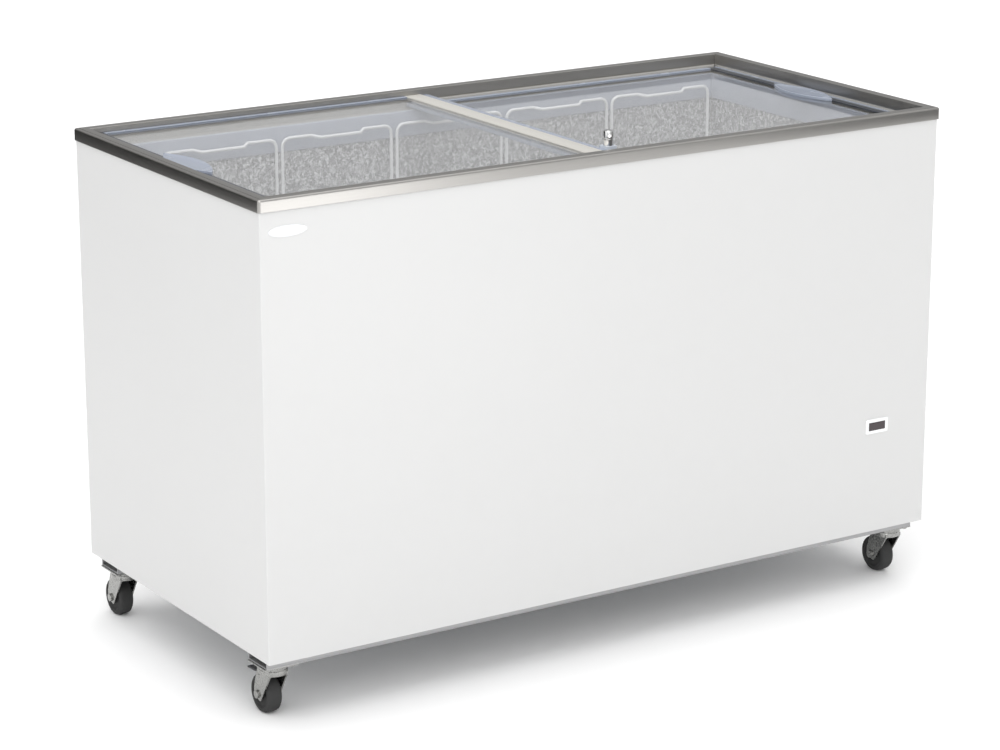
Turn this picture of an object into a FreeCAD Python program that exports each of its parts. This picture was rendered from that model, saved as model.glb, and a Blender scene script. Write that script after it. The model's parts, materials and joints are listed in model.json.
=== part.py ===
import FreeCAD, Part
import math
import os
import re

import Sketcher
from FreeCAD import Placement, Rotation, Vector

# Chest freezer with two sliding glass lids, wire baskets and swivel casters.
# Frame: X along the length (right is +X), Y from front to back, Z up.
# The origin is on the floor, under the centre of the cabinet.

# Every size that can be set by itself, in millimetres (angles in degrees).
SIZES = {
    # cabinet
    "overall_width": 1300,
    "overall_depth": 630,
    "overall_height": 837,
    "caster_height": 90,
    "channel_height": 16,
    "panel_sheet": 0.8,
    "rim_overhang": 3,
    "insulation_wall": 42.4,
    "floor_insulation": 60,
    # aluminium rim
    "rim_height": 20,
    "rim_top_width": 20,
    "rim_wall": 1.5,
    "rim_inner_drop": 18.5,
    "rim_edge_radius": 3.5,
    "rim_groove_inset": 6,
    "rim_groove_width": 1.2,
    "rim_groove_depth": 0.5,
    # lid tracks and the collar under them
    "track_wall": 3,
    "upper_ledge_width": 8,
    "lower_ledge_drop": 31.5,
    "collar_inset": 50,
    "collar_depth": 44,
    "ledge_groove_width": 3,
    "ledge_groove_depth": 1.2,
    "ledge_groove_inset": 2,
    "track_fit": 0.3,
    # glass lids
    "glass_thickness": 4,
    "lid_gap": 1,
    "ride_clearance": 0.3,
    "runner_height": 9.7,
    "runner_width": 10,
    "runner_foot_width": 5,
    "runner_lip": 1.5,
    "glass_grip_depth": 6,
    "end_profile_width": 22,
    "stile_width": 33,
    "stile_rise": 1.2,
    "stile_groove": 2,
    "stile_groove_depth": 2,
    "stile_edge_strip": 13,
    "stile_edge_radius": 0.8,
    "stile_seat_gap": 0.2,
    "lid_meeting_offset": 2,
    "draught_lip_inset": 8,
    "draught_lip_width": 8,
    "draught_gap": 0.6,
    "grip_length": 165,
    "grip_width": 50,
    "grip_rise": 3.5,
    "grip_end_gap": 1,
    # lid lock
    "lock_block_wall": 1.15,
    "lock_block_height": 10.5,
    "lock_setback": 73,
    "lock_barrel_radius": 8.5,
    "lock_barrel_height": 24.5,
    "lock_waist_depth": 1.2,
    "lock_waist_height": 9.5,
    "lock_waist_length": 4,
    "lock_waist_slope": 1.4,
    "lock_push_gap": 0.5,
    "lock_edge_radius": 1,
    "lock_travel": 8,
    "lock_bore_clearance": 0.35,
    "lock_plug_radius": 4.5,
    "lock_plug_depth": 20,
    "lock_plug_clearance": 0.08,
    "key_slot_width": 1.4,
    "key_slot_length": 6,
    "key_slot_depth": 12,
    "key_plug_proud": 0.4,
    "keeper_gap": 1.5,
    "keeper_width": 10,
    "keeper_clearance": 1,
    # compressor compartment
    "compartment_width": 235,
    "compartment_height": 258,
    "vent_width": 200,
    "vent_height": 190,
    "vent_rise": 4,
    "vent_lap": 10,
    "vent_border": 20,
    "vent_end_border": 15,
    "vent_slot_height": 6,
    "vent_slot_pitch": 14,
    "vent_plate": 1.5,
    "vent_screw_radius": 3.5,
    "vent_screw_height": 1.2,
    "vent_screw_inset": 6,
    "compressor_radius": 72,
    "compressor_inset": 214.2,
    "compressor_base_radius": 58,
    "compressor_base_rise": 14,
    "compressor_base_bend": 6,
    "compressor_dome_bend": 30,
    "compressor_seam": 3,
    "compressor_seam_height": 4,
    "compressor_foot_length": 170,
    "compressor_foot_width": 120,
    "compressor_body_height": 120,
    "compressor_dome": 32,
    "compressor_foot": 3,
    "compressor_tray_sheet": 2,
    "compressor_tray_width": 210,
    "compressor_tray_gap": 2,
    "grommet_spacing_x": 144,
    "grommet_spacing_y": 92,
    "grommet_height": 14,
    "grommet_radius": 11,
    "drier_radius": 9,
    "drier_length": 90,
    "drier_height": 90,
    "drier_to_tray": 60,
    "terminal_box_width": 52,
    "terminal_box_depth": 36.5,
    "terminal_box_height": 60,
    "terminal_box_rise": 45,
    "terminal_box_gap": 3.5,
    "pipe_radius": 3.2,
    "capillary_radius": 1.9,
    "pipe_bend": 16,
    "discharge_bend": 10,
    "capillary_bend": 5,
    "pipe_gap": 0.5,
    "pipe_wall_gap": 12,
    "pipe_ceiling_gap": 12,
    "discharge_set_back": 20,
    "discharge_rise": 30,
    "discharge_dip": 60,
    "discharge_reach": 24,
    "capillary_reach": 60,
    "suction_start": 2,
    "suction_rise": 20,
    "suction_reach": 60,
    "suction_jog": 20,
    # refrigerant coils in the insulation
    "coil_radius": 4,
    "coil_bend": 20,
    "coil_skin": 5.2,
    "coil_pitch": 62,
    "coil_jog": 120,
    "warm_coil_end_gap": 30,
    # panel fittings
    "thermometer_width": 47,
    "thermometer_height": 25.5,
    "thermometer_window_width": 35.4,
    "thermometer_window_height": 15.5,
    "thermometer_proud": 2.4,
    "thermometer_body_depth": 24,
    "thermometer_hole_gap": 2,
    "thermometer_case_wall": 1.5,
    "thermometer_lap": 0.5,
    "window_sink": 0.2,
    "window_thickness": 1,
    "thermometer_right_inset": 112.7,
    "thermometer_above_base": 190,
    "badge_width": 66,
    "badge_height": 18,
    "badge_thickness": 1,
    "badge_left_inset": 50,
    "badge_below_rim": 52,
    "gland_radius": 11,
    "gland_neck_radius": 8,
    "gland_left_inset": 30,
    "gland_above_base": 24,
    "gland_bore_radius": 4,
    "gland_proud": 2.5,
    "gland_length": 16,
    "drain_radius": 9.5,
    "drain_spigot_radius": 8,
    "drain_bore_radius": 6,
    "drain_spigot": 14,
    "drain_left_inset": 88,
    "drain_plug_head": 11,
    "drain_plug_rise": 5,
    "drain_plug_stem": 14,
    "drain_spigot_root": 5,
    # base channels
    "channel_width": 60,
    "channel_wall": 2,
    "channel_end_inset": 8,
    # casters
    "caster_end_inset": 38,
    "caster_side_inset": 55,
    "caster_trail": 23,
    "wheel_radius": 31.25,
    "wheel_width": 25,
    "wheel_shoulder": 5,
    "wheel_hub_gap": 0.6,
    "wheel_hub_radius": 9,
    "wheel_hub_flare": 0.5,
    "wheel_dish": 3,
    "wheel_dish_inset": 11,
    "wheel_rim_inner": 8,
    "wheel_rim_outer": 7,
    "wheel_tread_edge": 6,
    "wheel_shoulder_bend": 2,
    "plate_size": 58,
    "plate_thickness": 2.5,
    "plate_bolt_spacing": 42,
    "plate_bolt_head": 5,
    "plate_bolt_head_height": 3,
    "fork_axle_drop": 4,
    "fork_toe_drop": 10,
    "fork_shoulder": 24,
    "fork_heel_reach": 5,
    "fork_throat_reach": 2,
    "fork_nose_reach": 6,
    "fork_head_cover": 3,
    "fork_bend": 5,
    "fork_shoulder_bend": 8,
    "fork_slot_bend": 4,
    "kingpin_gap": 0.3,
    "kingpin_length": 11,
    "kingpin_root": 1,
    "kingpin_head": 2,
    "kingpin_head_gap": 2.8,
    "kingpin_head_height": 2.4,
    "race_radius": 23,
    "race_height": 7,
    "race_gap": 0.4,
    "fork_wall": 2.5,
    "fork_clearance": 1.4,
    "fork_head_height": 8,
    "fork_boss_radius": 10,
    "axle_radius": 4,
    "axle_running_gap": 0.08,
    "axle_head_radius": 6.5,
    "axle_head_height": 3,
    "kingpin_radius": 5,
    "pedal_length": 46,
    "pedal_width": 24,
    "pedal_thickness": 3,
    "pedal_tilt": 4,
    "pedal_heel": 5,
    "pedal_pivot_back": 16,
    "pedal_pivot_drop": 5,
    "pedal_pin_radius": 2,
    "pedal_pin_gap": 0.3,
    "pedal_bend": 1,
    # baskets
    "basket_width": 217,
    "basket_pitch": 223.3,
    "basket_right_gap": 17,
    "basket_end_gap": 13.5,
    "basket_lid_gap": 16.2,
    "basket_floor_gap": 0.6,
    "basket_mesh_drop": 110,
    "basket_frame_wire": 2.6,
    "basket_mesh_wire": 1.6,
    "basket_corner_bend": 14,
    "basket_dip_width": 78,
    "basket_dip_inward": 11,
    "basket_dip_down": 3,
    "basket_dip_slope": 12,
    "basket_uprights": 6,
    "basket_crossbars": 2,
}

# Places that follow from the sizes. Heights are above the floor.
PLACES = {
    "half_width": "overall_width / 2",
    "half_depth": "overall_depth / 2",
    "rim_top": "overall_height",
    "body_bottom": "caster_height + channel_height",
    "shell_half_width": "half_width - rim_overhang",
    "shell_half_depth": "half_depth - rim_overhang",
    "shell_top": "rim_top - rim_wall - 0.5",
    "liner_half_width": "shell_half_width - panel_sheet - insulation_wall - panel_sheet",
    "liner_half_depth": "shell_half_depth - panel_sheet - insulation_wall - panel_sheet",
    "liner_top": "rim_top - lower_ledge_drop - track_wall",
    "liner_floor": "body_bottom + panel_sheet + floor_insulation + panel_sheet",
    "compartment_left": "shell_half_width - panel_sheet - compartment_width",
    "step_riser": "compartment_left - insulation_wall - panel_sheet",
    "step_top": "body_bottom + compartment_height + insulation_wall + panel_sheet",
    "upper_ledge": "rim_top - rim_inner_drop",
    "lower_ledge": "rim_top - lower_ledge_drop",
    "upper_lid_base": "upper_ledge + ride_clearance",
    "lower_lid_base": "lower_ledge + ride_clearance",
    "upper_lid_top": "upper_lid_base + runner_height",
    "lower_lid_top": "lower_lid_base + runner_height",
    "glass_lift": "runner_height - runner_lip - glass_thickness",
    "lower_glass_top": "lower_lid_base + glass_lift + glass_thickness",
    "upper_lid_half_depth": "half_depth - rim_top_width - lid_gap",
    "lower_lid_half_depth": "half_depth - rim_top_width - upper_ledge_width - lid_gap",
    "lid_outer_end": "half_width - rim_top_width - lid_gap",
    "stile_underside": "upper_lid_base + stile_rise",
    "stile_right": "-lid_meeting_offset",
    "stile_left": "stile_right - stile_width",
    "strip_right": "stile_right + stile_groove + stile_edge_strip",
    "lock_block_width": "2 * (lock_barrel_radius + lock_bore_clearance + lock_block_wall)",
    "lock_left": "strip_right",
    "lock_x": "lock_left + lock_block_width / 2",
    "lock_y": "-half_depth + lock_setback",
    "lock_block_top": "stile_underside + lock_block_height",
    "lock_sunk": "lock_block_top - lower_glass_top - lock_travel - lock_push_gap",
    "thermometer_x": "half_width - thermometer_right_inset",
    "thermometer_z": "body_bottom + thermometer_above_base",
    "badge_x": "-half_width + badge_left_inset",
    "badge_z": "rim_top - badge_below_rim",
    "drain_x": "-half_width + drain_left_inset",
    "gland_x": "compartment_left + gland_left_inset",
    "gland_z": "body_bottom + gland_above_base",
    "caster_x": "half_width - caster_end_inset",
    "caster_y": "half_depth - caster_side_inset",
    "channel_half_length": "shell_half_width - channel_end_inset",
    "plate_underside": "caster_height - plate_thickness",
    "race_underside": "plate_underside - race_height",
    "fork_top": "race_underside - race_gap",
    "fork_slot_half": "wheel_width / 2 + fork_clearance",
    "fork_half": "fork_slot_half + fork_wall",
    "pedal_pivot_z": "fork_top - fork_head_height - pedal_pivot_drop",
    "compressor_x": "(compartment_left + shell_half_width) / 2",
    "compressor_y": "half_depth - compressor_inset",
    "tray_top": "body_bottom + panel_sheet + compressor_tray_sheet",
    "compressor_base": "tray_top + grommet_height",
    "vent_x": "compressor_x",
    "vent_z": "body_bottom + compartment_height / 2 + vent_rise",
    "basket_rim": "lower_lid_base - basket_lid_gap",
    "basket_half_depth": "liner_half_depth - basket_end_gap - basket_frame_wire",
    "basket_mesh_top": "basket_rim - basket_mesh_drop",
    "last_basket_x": "liner_half_width - basket_right_gap - basket_width / 2",
}

BASKETS = 5
SHALLOW_BASKET = 5          # the one that stands on the step over the compressor

document = FreeCAD.newDocument("ChestFreezer")
sheet = document.addObject("Spreadsheet::Sheet", "Sizes")
for row, (alias, number) in enumerate(SIZES.items(), start=1):
    sheet.set(f"A{row}", alias)
    sheet.set(f"B{row}", str(number))
    sheet.setAlias(f"B{row}", alias)
document.recompute()

nodes = {}


# ---------------------------------------------------------------- helpers

def formula(text):
    """Spell out the places in an expression and point its sizes at the sheet."""
    def swap(match):
        word = match.group()
        if word in PLACES:
            return "(" + formula(PLACES[word]) + ")"
        return "Sizes." + word if word in SIZES else word
    return re.sub(r"[a-z][a-z_]+", swap, str(text))


def size(text):
    """The present value of an expression of sizes and places."""
    return float(sheet.evalExpression(formula(text)))


def node(item, name):
    """Give a finished sub-part the name of its file."""
    item.Label = name
    nodes[name] = item
    return item


def block(name, low, high):
    """A Part::Box between two corners, each written as three expressions."""
    box = document.addObject("Part::Box", name)
    for prop, near, far in zip(("Length", "Width", "Height"), low, high):
        box.setExpression(prop, formula(f"({far}) - ({near})"))
    for axis, near in zip("xyz", low):
        box.setExpression(f"Placement.Base.{axis}", formula(near))
    return box


def rod(name, start, radius, length, axis="z"):
    """A Part::Cylinder from a start point along an axis."""
    turns = {"x": Rotation(Vector(0, 1, 0), 90), "y": Rotation(Vector(1, 0, 0), -90), "z": Rotation()}
    cylinder = document.addObject("Part::Cylinder", name)
    cylinder.Placement = Placement(Vector(), turns[axis])
    cylinder.setExpression("Radius", formula(radius))
    cylinder.setExpression("Height", formula(length))
    for letter, value in zip("xyz", start):
        cylinder.setExpression(f"Placement.Base.{letter}", formula(value))
    return cylinder


def fused(name, pieces):
    joined = document.addObject("Part::MultiFuse", name)
    joined.Shapes = pieces
    return joined


def grouped(name, pieces):
    """Separate solids that share one node."""
    group = document.addObject("Part::Compound", name)
    group.Links = pieces
    return group


def cut(name, base, tools):
    result = document.addObject("Part::Cut", name)
    result.Base = base
    result.Tool = tools[0] if len(tools) == 1 else grouped(name + "Tools", tools)
    return result


def make_body(name):
    return document.addObject("PartDesign::Body", name)


def make_sketch(body, name, role, offset=None):
    sketch = body.newObject("Sketcher::SketchObject", name)
    plane = [item for item in body.Origin.OriginFeatures if item.Role == role][0]
    sketch.AttachmentSupport = [(plane, "")]
    sketch.MapMode = "FlatFace"
    if offset is not None:
        sketch.setExpression("AttachmentOffset.Base.z", formula(offset))
    return sketch


def pin_point(sketch, geometry, end, across, up):
    """Fix a point of the sketch at two expressions."""
    for kind, text, axis in (("DistanceX", across, -2), ("DistanceY", up, -1)):
        if abs(size(text)) < 1e-9:
            sketch.addConstraint(Sketcher.Constraint("PointOnObject", geometry, end, axis))
        else:
            held = Sketcher.Constraint(kind, -1, 1, geometry, end, size(text))
            index = sketch.addConstraint(held)
            sketch.setExpression(f"Constraints[{index}]", formula(text))


def outline(sketch, corners):
    """A closed outline. A corner is (across, up) or (across, up, radius of its rounding)."""
    places = [Vector(size(corner[0]), size(corner[1]), 0) for corner in corners]
    count = len(corners)
    spans = []
    for here, corner in enumerate(corners):
        ahead = (places[(here + 1) % count] - places[here]).normalize()
        behind = (places[here - 1] - places[here]).normalize()
        reach = 0.0
        if len(corner) == 3:
            reach = size(corner[2]) / math.tan(ahead.getAngle(behind) / 2)
        spans.append((places[here] + behind * reach, places[here] + ahead * reach))
    lines = []
    for here in range(count):
        run = Part.LineSegment(spans[here][1], spans[(here + 1) % count][0])
        lines.append(sketch.addGeometry(run, False))
    for here, corner in enumerate(corners):
        before, after = lines[here - 1], lines[here]
        if len(corner) == 2:
            sketch.addConstraint(Sketcher.Constraint("Coincident", before, 2, after, 1))
            pin_point(sketch, after, 1, corner[0], corner[1])
            continue
        first, last = spans[here]
        radius = size(corner[2])
        inward = ((first - places[here]).normalize() + (last - places[here]).normalize()).normalize()
        half = (first - places[here]).getAngle(last - places[here]) / 2
        centre = places[here] + inward * (radius / math.sin(half))
        middle = centre - inward * radius
        arc = sketch.addGeometry(Part.Arc(first, middle, last), False)
        mark = sketch.addGeometry(Part.Point(places[here]), True)
        pin_point(sketch, mark, 1, corner[0], corner[1])
        sketch.addConstraint(Sketcher.Constraint("PointOnObject", mark, 1, before))
        sketch.addConstraint(Sketcher.Constraint("PointOnObject", mark, 1, after))
        start_end = 1
        if (sketch.getPoint(arc, 1) - first).Length > 1e-6:
            start_end = 2
        sketch.addConstraint(Sketcher.Constraint("Tangent", before, 2, arc, start_end))
        sketch.addConstraint(Sketcher.Constraint("Tangent", after, 1, arc, 3 - start_end))
        index = sketch.addConstraint(Sketcher.Constraint("Radius", arc, radius))
        sketch.setExpression(f"Constraints[{index}]", formula(corner[2]))


def circle(sketch, across, up, radius):
    centre = Vector(size(across), size(up), 0)
    index = sketch.addGeometry(Part.Circle(centre, Vector(0, 0, 1), size(radius)), False)
    pin_point(sketch, index, 3, across, up)
    held = sketch.addConstraint(Sketcher.Constraint("Radius", index, size(radius)))
    sketch.setExpression(f"Constraints[{held}]", formula(radius))


def pad(body, sketch, length, centred=False, reverse=False):
    feature = body.newObject("PartDesign::Pad", sketch.Name + "Pad")
    feature.Profile = sketch
    feature.setExpression("Length", formula(length))
    feature.SideType = "Symmetric" if centred else "One side"
    feature.Reversed = reverse
    return feature


def pocket(body, sketch, length, centred=False, reverse=False):
    """Cut a sketch into the body, and stop if nothing comes away."""
    document.recompute()
    before = body.Shape.Volume
    feature = body.newObject("PartDesign::Pocket", sketch.Name + "Pocket")
    feature.Profile = sketch
    feature.setExpression("Length", formula(length))
    feature.SideType = "Symmetric" if centred else "One side"
    feature.Reversed = reverse
    document.recompute()
    if body.Shape.Volume >= before - 1e-6:
        raise RuntimeError(f"{feature.Name} cuts nothing")
    return feature


def put(item, across="0", along="0", up="0", turn=0):
    """Place a finished sub-part, turned about the vertical."""
    item.Placement = Placement(Vector(), Rotation(Vector(0, 0, 1), turn))
    for letter, value in zip("xyz", (across, along, up)):
        item.setExpression(f"Placement.Base.{letter}", formula(value))
    return item


def rounded_path(points, radius):
    """One wire of straight runs joined by tangent arcs of one radius."""
    edges = []
    here = points[0]
    for before, corner, after in zip(points, points[1:], points[2:]):
        back = (before - corner).normalize()
        ahead = (after - corner).normalize()
        half = back.getAngle(ahead) / 2
        reach = radius / math.tan(half)
        first = corner + back * reach
        last = corner + ahead * reach
        inward = (back + ahead).normalize()
        middle = corner + inward * (radius / math.sin(half) - radius)
        edges.append(Part.LineSegment(here, first).toShape())
        edges.append(Part.Arc(first, middle, last).toShape())
        here = last
    edges.append(Part.LineSegment(here, points[-1]).toShape())
    return Part.Wire(edges)


def tube(points, radius, bend):
    """A solid round tube along a rounded path."""
    path = rounded_path(points, bend)
    start = points[0]
    section = Part.Wire(Part.makeCircle(radius, start, points[1] - start))
    solid = path.makePipeShell([section], True, False)
    if solid.Volume < 0.98 * path.Length * math.pi * radius ** 2:
        raise RuntimeError("a tube came out thinner than its section")
    return solid


def modelled(name, shape):
    """A sub-part bent or woven from wire, which has no single sketch."""
    feature = document.addObject("Part::Feature", name)
    feature.Shape = shape
    return feature


# ---------------------------------------------------------------- rim and lid tracks

def rail(name, section, length, own, other):
    """An extruded rail, mitred at both ends, with its outer face at y = 0 and its top at z = 0."""
    body = make_body(name)
    profile = make_sketch(body, name + "Section", "YZ_Plane")
    outline(profile, section)
    pad(body, profile, length, centred=True)
    for side in ("", "-"):
        mitre = make_sketch(body, name + ("MitreRight" if side == "" else "MitreLeft"), "XY_Plane")
        end = f"{side}({length}) / 2"
        inner = f"{side}(({length}) / 2 - ({other}))"
        beyond = f"{side}(({length}) / 2 + 1)"
        outline(mitre, [(end, "0"), (inner, own), (beyond, own), (beyond, "0")])
        pocket(body, mitre, "4 * overall_height", centred=True)
    return body


RIM_SHOULDER = "-rim_edge_radius - rim_wall"
RIM_SECTIONS = {
    "Top": [
        ("0", "0", "rim_edge_radius"), ("0", RIM_SHOULDER),
        ("rim_wall", RIM_SHOULDER), ("rim_wall", "-rim_wall"),
        ("rim_top_width", "-rim_wall"), ("rim_top_width", "0"),
        ("rim_groove_inset + rim_groove_width", "0"),
        ("rim_groove_inset + rim_groove_width", "-rim_groove_depth"),
        ("rim_groove_inset", "-rim_groove_depth"), ("rim_groove_inset", "0"),
    ],
    "Skirt": [
        ("0", RIM_SHOULDER), ("0", "-rim_height"),
        ("rim_overhang", "-rim_height"), ("rim_overhang", "-rim_height + rim_wall"),
        ("rim_wall", "-rim_height + rim_wall"), ("rim_wall", RIM_SHOULDER),
    ],
    "Lip": [
        ("rim_top_width - rim_wall", "-rim_wall"), ("rim_top_width - rim_wall", "-rim_inner_drop"),
        ("rim_top_width", "-rim_inner_drop"), ("rim_top_width", "-rim_wall"),
    ],
}


def strip(near, far, high, low):
    """A plain rectangular section between two insets from the rail's face and two heights."""
    return [(near, high), (near, low), (far, low), (far, high)]


def track_sections(step, grooved):
    """The stepped plastic section by its flats: upper ledge, step wall, lower ledge and collar."""
    outer = "rim_overhang + panel_sheet + track_fit"
    ledge, ledge_base = "-rim_inner_drop", "-rim_inner_drop - track_wall"
    lower, lower_base = "-lower_ledge_drop", "-lower_ledge_drop - track_wall"
    upper = strip(outer, step, ledge, ledge_base)
    if grooved:
        near = "rim_top_width + ledge_groove_inset"
        far = "rim_top_width + ledge_groove_inset + ledge_groove_width"
        deep = "-rim_inner_drop - ledge_groove_depth"
        upper += [(far, ledge), (far, deep), (near, deep), (near, ledge)]
    return {
        "Ledge": upper,
        "StepWall": strip(f"{step} - track_wall", step, ledge_base, lower_base),
        "LowerLedge": strip(step, "collar_inset", lower, lower_base),
        "Collar": strip("collar_inset - track_wall", "collar_inset",
                        lower_base, "-lower_ledge_drop - collar_depth"),
    }


def build_rails():
    """Four rim rails and four track rails, each pair placed by the side it runs along."""
    sides = {
        "front": ("overall_width", "0", "-half_depth", 0),
        "rear": ("overall_width", "0", "half_depth", 180),
        "left": ("overall_depth", "-half_width", "0", -90),
        "right": ("overall_depth", "half_width", "0", 90),
    }
    for side, (length, across, along, turn) in sides.items():
        lengthwise = side in ("front", "rear")
        step = "rim_top_width + upper_ledge_width" if lengthwise else "rim_top_width"
        for kind, label, reach, sections in (
                ("Rim", "rim", "rim_top_width", RIM_SECTIONS),
                ("Track", "lid_track", "collar_inset", track_sections(step, lengthwise))):
            flats = []
            for flat, section in sections.items():
                flats.append(rail(f"{kind}{side}{flat}", section, length, reach, reach))
                put(flats[-1], across, along, "rim_top", turn)
            node(grouped(kind + side, flats), f"{label}_{side}")


# ---------------------------------------------------------------- cabinet

def build_shell():
    """Painted steel sheets: the front, the two sides, the back and the bottom."""
    inner_y = "shell_half_depth - panel_sheet"
    hole_x = "thermometer_window_width / 2 + thermometer_hole_gap"
    hole_z = "thermometer_window_height / 2 + thermometer_hole_gap"
    front = block("FrontSheet", ("-shell_half_width", "-shell_half_depth", "body_bottom"),
                  ("shell_half_width", f"-({inner_y})", "shell_top"))
    window = block("ThermometerHole",
                   (f"thermometer_x - ({hole_x})", "-shell_half_depth - 1", f"thermometer_z - ({hole_z})"),
                   (f"thermometer_x + {hole_x}", f"-({inner_y}) + 1", f"thermometer_z + {hole_z}"))
    front = cut("FrontPanel", front, [window])
    left = block("LeftPanel", ("-shell_half_width", f"-({inner_y})", "body_bottom"),
                 ("-shell_half_width + panel_sheet", "shell_half_depth", "shell_top"))
    right = block("RightPanel", ("shell_half_width - panel_sheet", f"-({inner_y})", "body_bottom"),
                  ("shell_half_width", "shell_half_depth", "shell_top"))
    node(grouped("OuterShell", [front, left, right]), "outer_shell")

    back = block("BackSheet", ("-shell_half_width + panel_sheet", inner_y, "body_bottom"),
                 ("shell_half_width - panel_sheet", "shell_half_depth", "shell_top"))
    vent = block("VentHole",
                 ("vent_x - vent_width / 2 + vent_lap", f"{inner_y} - 1",
                  "vent_z - vent_height / 2 + vent_lap"),
                 ("vent_x + vent_width / 2 - vent_lap", "shell_half_depth + 1",
                  "vent_z + vent_height / 2 - vent_lap"))
    entry = rod("CordHole", ("gland_x", f"{inner_y} - 1", "gland_z"), "gland_neck_radius",
                "panel_sheet + 2", "y")
    node(cut("BackPanel", back, [vent, entry]), "back_panel")

    pan = block("PanSheet", ("-shell_half_width + panel_sheet", f"-({inner_y})", "body_bottom"),
                ("shell_half_width - panel_sheet", inner_y, "body_bottom + panel_sheet"))
    hole = rod("PanDrainHole", ("drain_x", "0", "body_bottom - 1"), "drain_radius", "panel_sheet + 2")
    node(cut("BottomPan", pan, [hole]), "bottom_pan")


def build_liner():
    """Embossed aluminium tub: the folded strip of ends, floor and step, and the two stepped side sheets."""
    wide, deep = "liner_half_width", "liner_half_depth"
    skin = "panel_sheet"
    floor = block("LinerFloorSheet", (f"-({wide})", f"-({deep})", f"liner_floor - {skin}"),
                  ("step_riser", deep, "liner_floor"))
    hole = rod("LinerDrainHole", ("drain_x", "0", "liner_floor - 2 * panel_sheet"), "drain_bore_radius",
               "3 * panel_sheet")
    floor = cut("LinerFloor", floor, [hole])
    left = block("LinerLeft", (f"-({wide}) - {skin}", f"-({deep})", f"liner_floor - {skin}"),
                 (f"-({wide})", deep, "liner_top"))
    riser = block("LinerRiser", ("step_riser", f"-({deep})", f"liner_floor - {skin}"),
                  (f"step_riser + {skin}", deep, "step_top"))
    step = block("LinerStep", (f"step_riser + {skin}", f"-({deep})", f"step_top - {skin}"),
                 (wide, deep, "step_top"))
    right = block("LinerRight", (wide, f"-({deep})", f"step_top - {skin}"),
                  (f"{wide} + {skin}", deep, "liner_top"))
    node(grouped("LinerStrip", [floor, left, riser, step, right]), "liner_strip")

    sheets = []
    faces = ("Front", f"-({deep}) - {skin}", f"-({deep})"), ("Rear", deep, f"{deep} + {skin}")
    for side, near, far in faces:
        sheets.append(block(f"Liner{side}Deep", (f"-({wide}) - {skin}", near, f"liner_floor - {skin}"),
                            (f"step_riser + {skin}", far, "liner_top")))
        sheets.append(block(f"Liner{side}Shallow", (f"step_riser + {skin}", near, f"step_top - {skin}"),
                            (f"{wide} + {skin}", far, "liner_top")))
    node(grouped("LinerSheets", sheets), "liner_side_sheets")


def coil_paths():
    """Routes of the cold coil round the liner and of the warm coil behind the outer panels."""
    lift = size("coil_skin + coil_radius")
    cold_x = size("liner_half_width + panel_sheet") + lift
    cold_y = size("liner_half_depth + panel_sheet") + lift
    riser_x = size("step_riser + panel_sheet") + lift
    pitch, jog = size("coil_pitch"), size("coil_jog")
    low = size("liner_floor") + pitch / 2
    step = size("step_top")
    levels = int((size("liner_top") - size("coil_bend") - low) // pitch) + 1
    cold = [Vector(-cold_x + jog, cold_y, low)]
    for level in range(levels):
        height = low + level * pitch
        right = riser_x if height < step + 2 * size("coil_radius") else cold_x
        cold += [Vector(-cold_x, cold_y, height), Vector(-cold_x, -cold_y, height),
                 Vector(right, -cold_y, height), Vector(right, cold_y, height)]
        if level < levels - 1:
            cold += [Vector(-cold_x + jog, cold_y, height), Vector(-cold_x + jog, cold_y, height + pitch)]
        else:
            cold.append(Vector(-cold_x + jog, cold_y, height))
    warm_x = size("shell_half_width - panel_sheet") - lift
    warm_y = size("shell_half_depth - panel_sheet") - lift
    start = step + pitch / 2
    passes = 2 * int((size("liner_top") - start) // (2 * pitch))
    warm_end = warm_y - size("warm_coil_end_gap")
    warm = []
    for level in range(passes):
        height = start + level * pitch
        ends = [Vector(-warm_x, warm_end, height), Vector(-warm_x, -warm_y, height),
                Vector(warm_x, -warm_y, height), Vector(warm_x, warm_end, height)]
        warm += ends if level % 2 == 0 else ends[::-1]
    return cold, warm


def build_insulation():
    """Foam between the liner and the shell, with the coils bedded in it."""
    cold, warm = coil_paths()
    bore, bend = size("coil_radius"), size("coil_bend")
    cold_coil = modelled("ColdCoil", tube(cold, bore, bend))
    warm_coil = modelled("WarmCoil", tube(warm, bore, bend))
    node(cold_coil, "evaporator_coil")
    node(warm_coil, "condenser_coil")
    inner_x, inner_y = "shell_half_width - panel_sheet", "shell_half_depth - panel_sheet"
    whole = block("FoamBlock", (f"-({inner_x})", f"-({inner_y})", "body_bottom + panel_sheet"),
                  (inner_x, inner_y, "liner_top"))
    tub = block("FoamTub", ("-liner_half_width - panel_sheet", "-liner_half_depth - panel_sheet",
                            "liner_floor - panel_sheet"),
                ("step_riser + panel_sheet", "liner_half_depth + panel_sheet", "rim_top"))
    shelf = block("FoamShelf", ("step_riser", "-liner_half_depth - panel_sheet", "step_top - panel_sheet"),
                  ("liner_half_width + panel_sheet", "liner_half_depth + panel_sheet", "rim_top"))
    room = block("MachineRoom", ("compartment_left", f"-({inner_y}) - 1", "body_bottom"),
                 (f"{inner_x} + 1", f"{inner_y} + 1", "body_bottom + compartment_height"))
    well = rod("DrainWell", ("drain_x", "0", "body_bottom"), "drain_radius",
               "floor_insulation + 3 * panel_sheet")
    node(cut("Foam", whole, [tub, shelf, room, well, cold_coil, warm_coil]), "insulation_foam")


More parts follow.
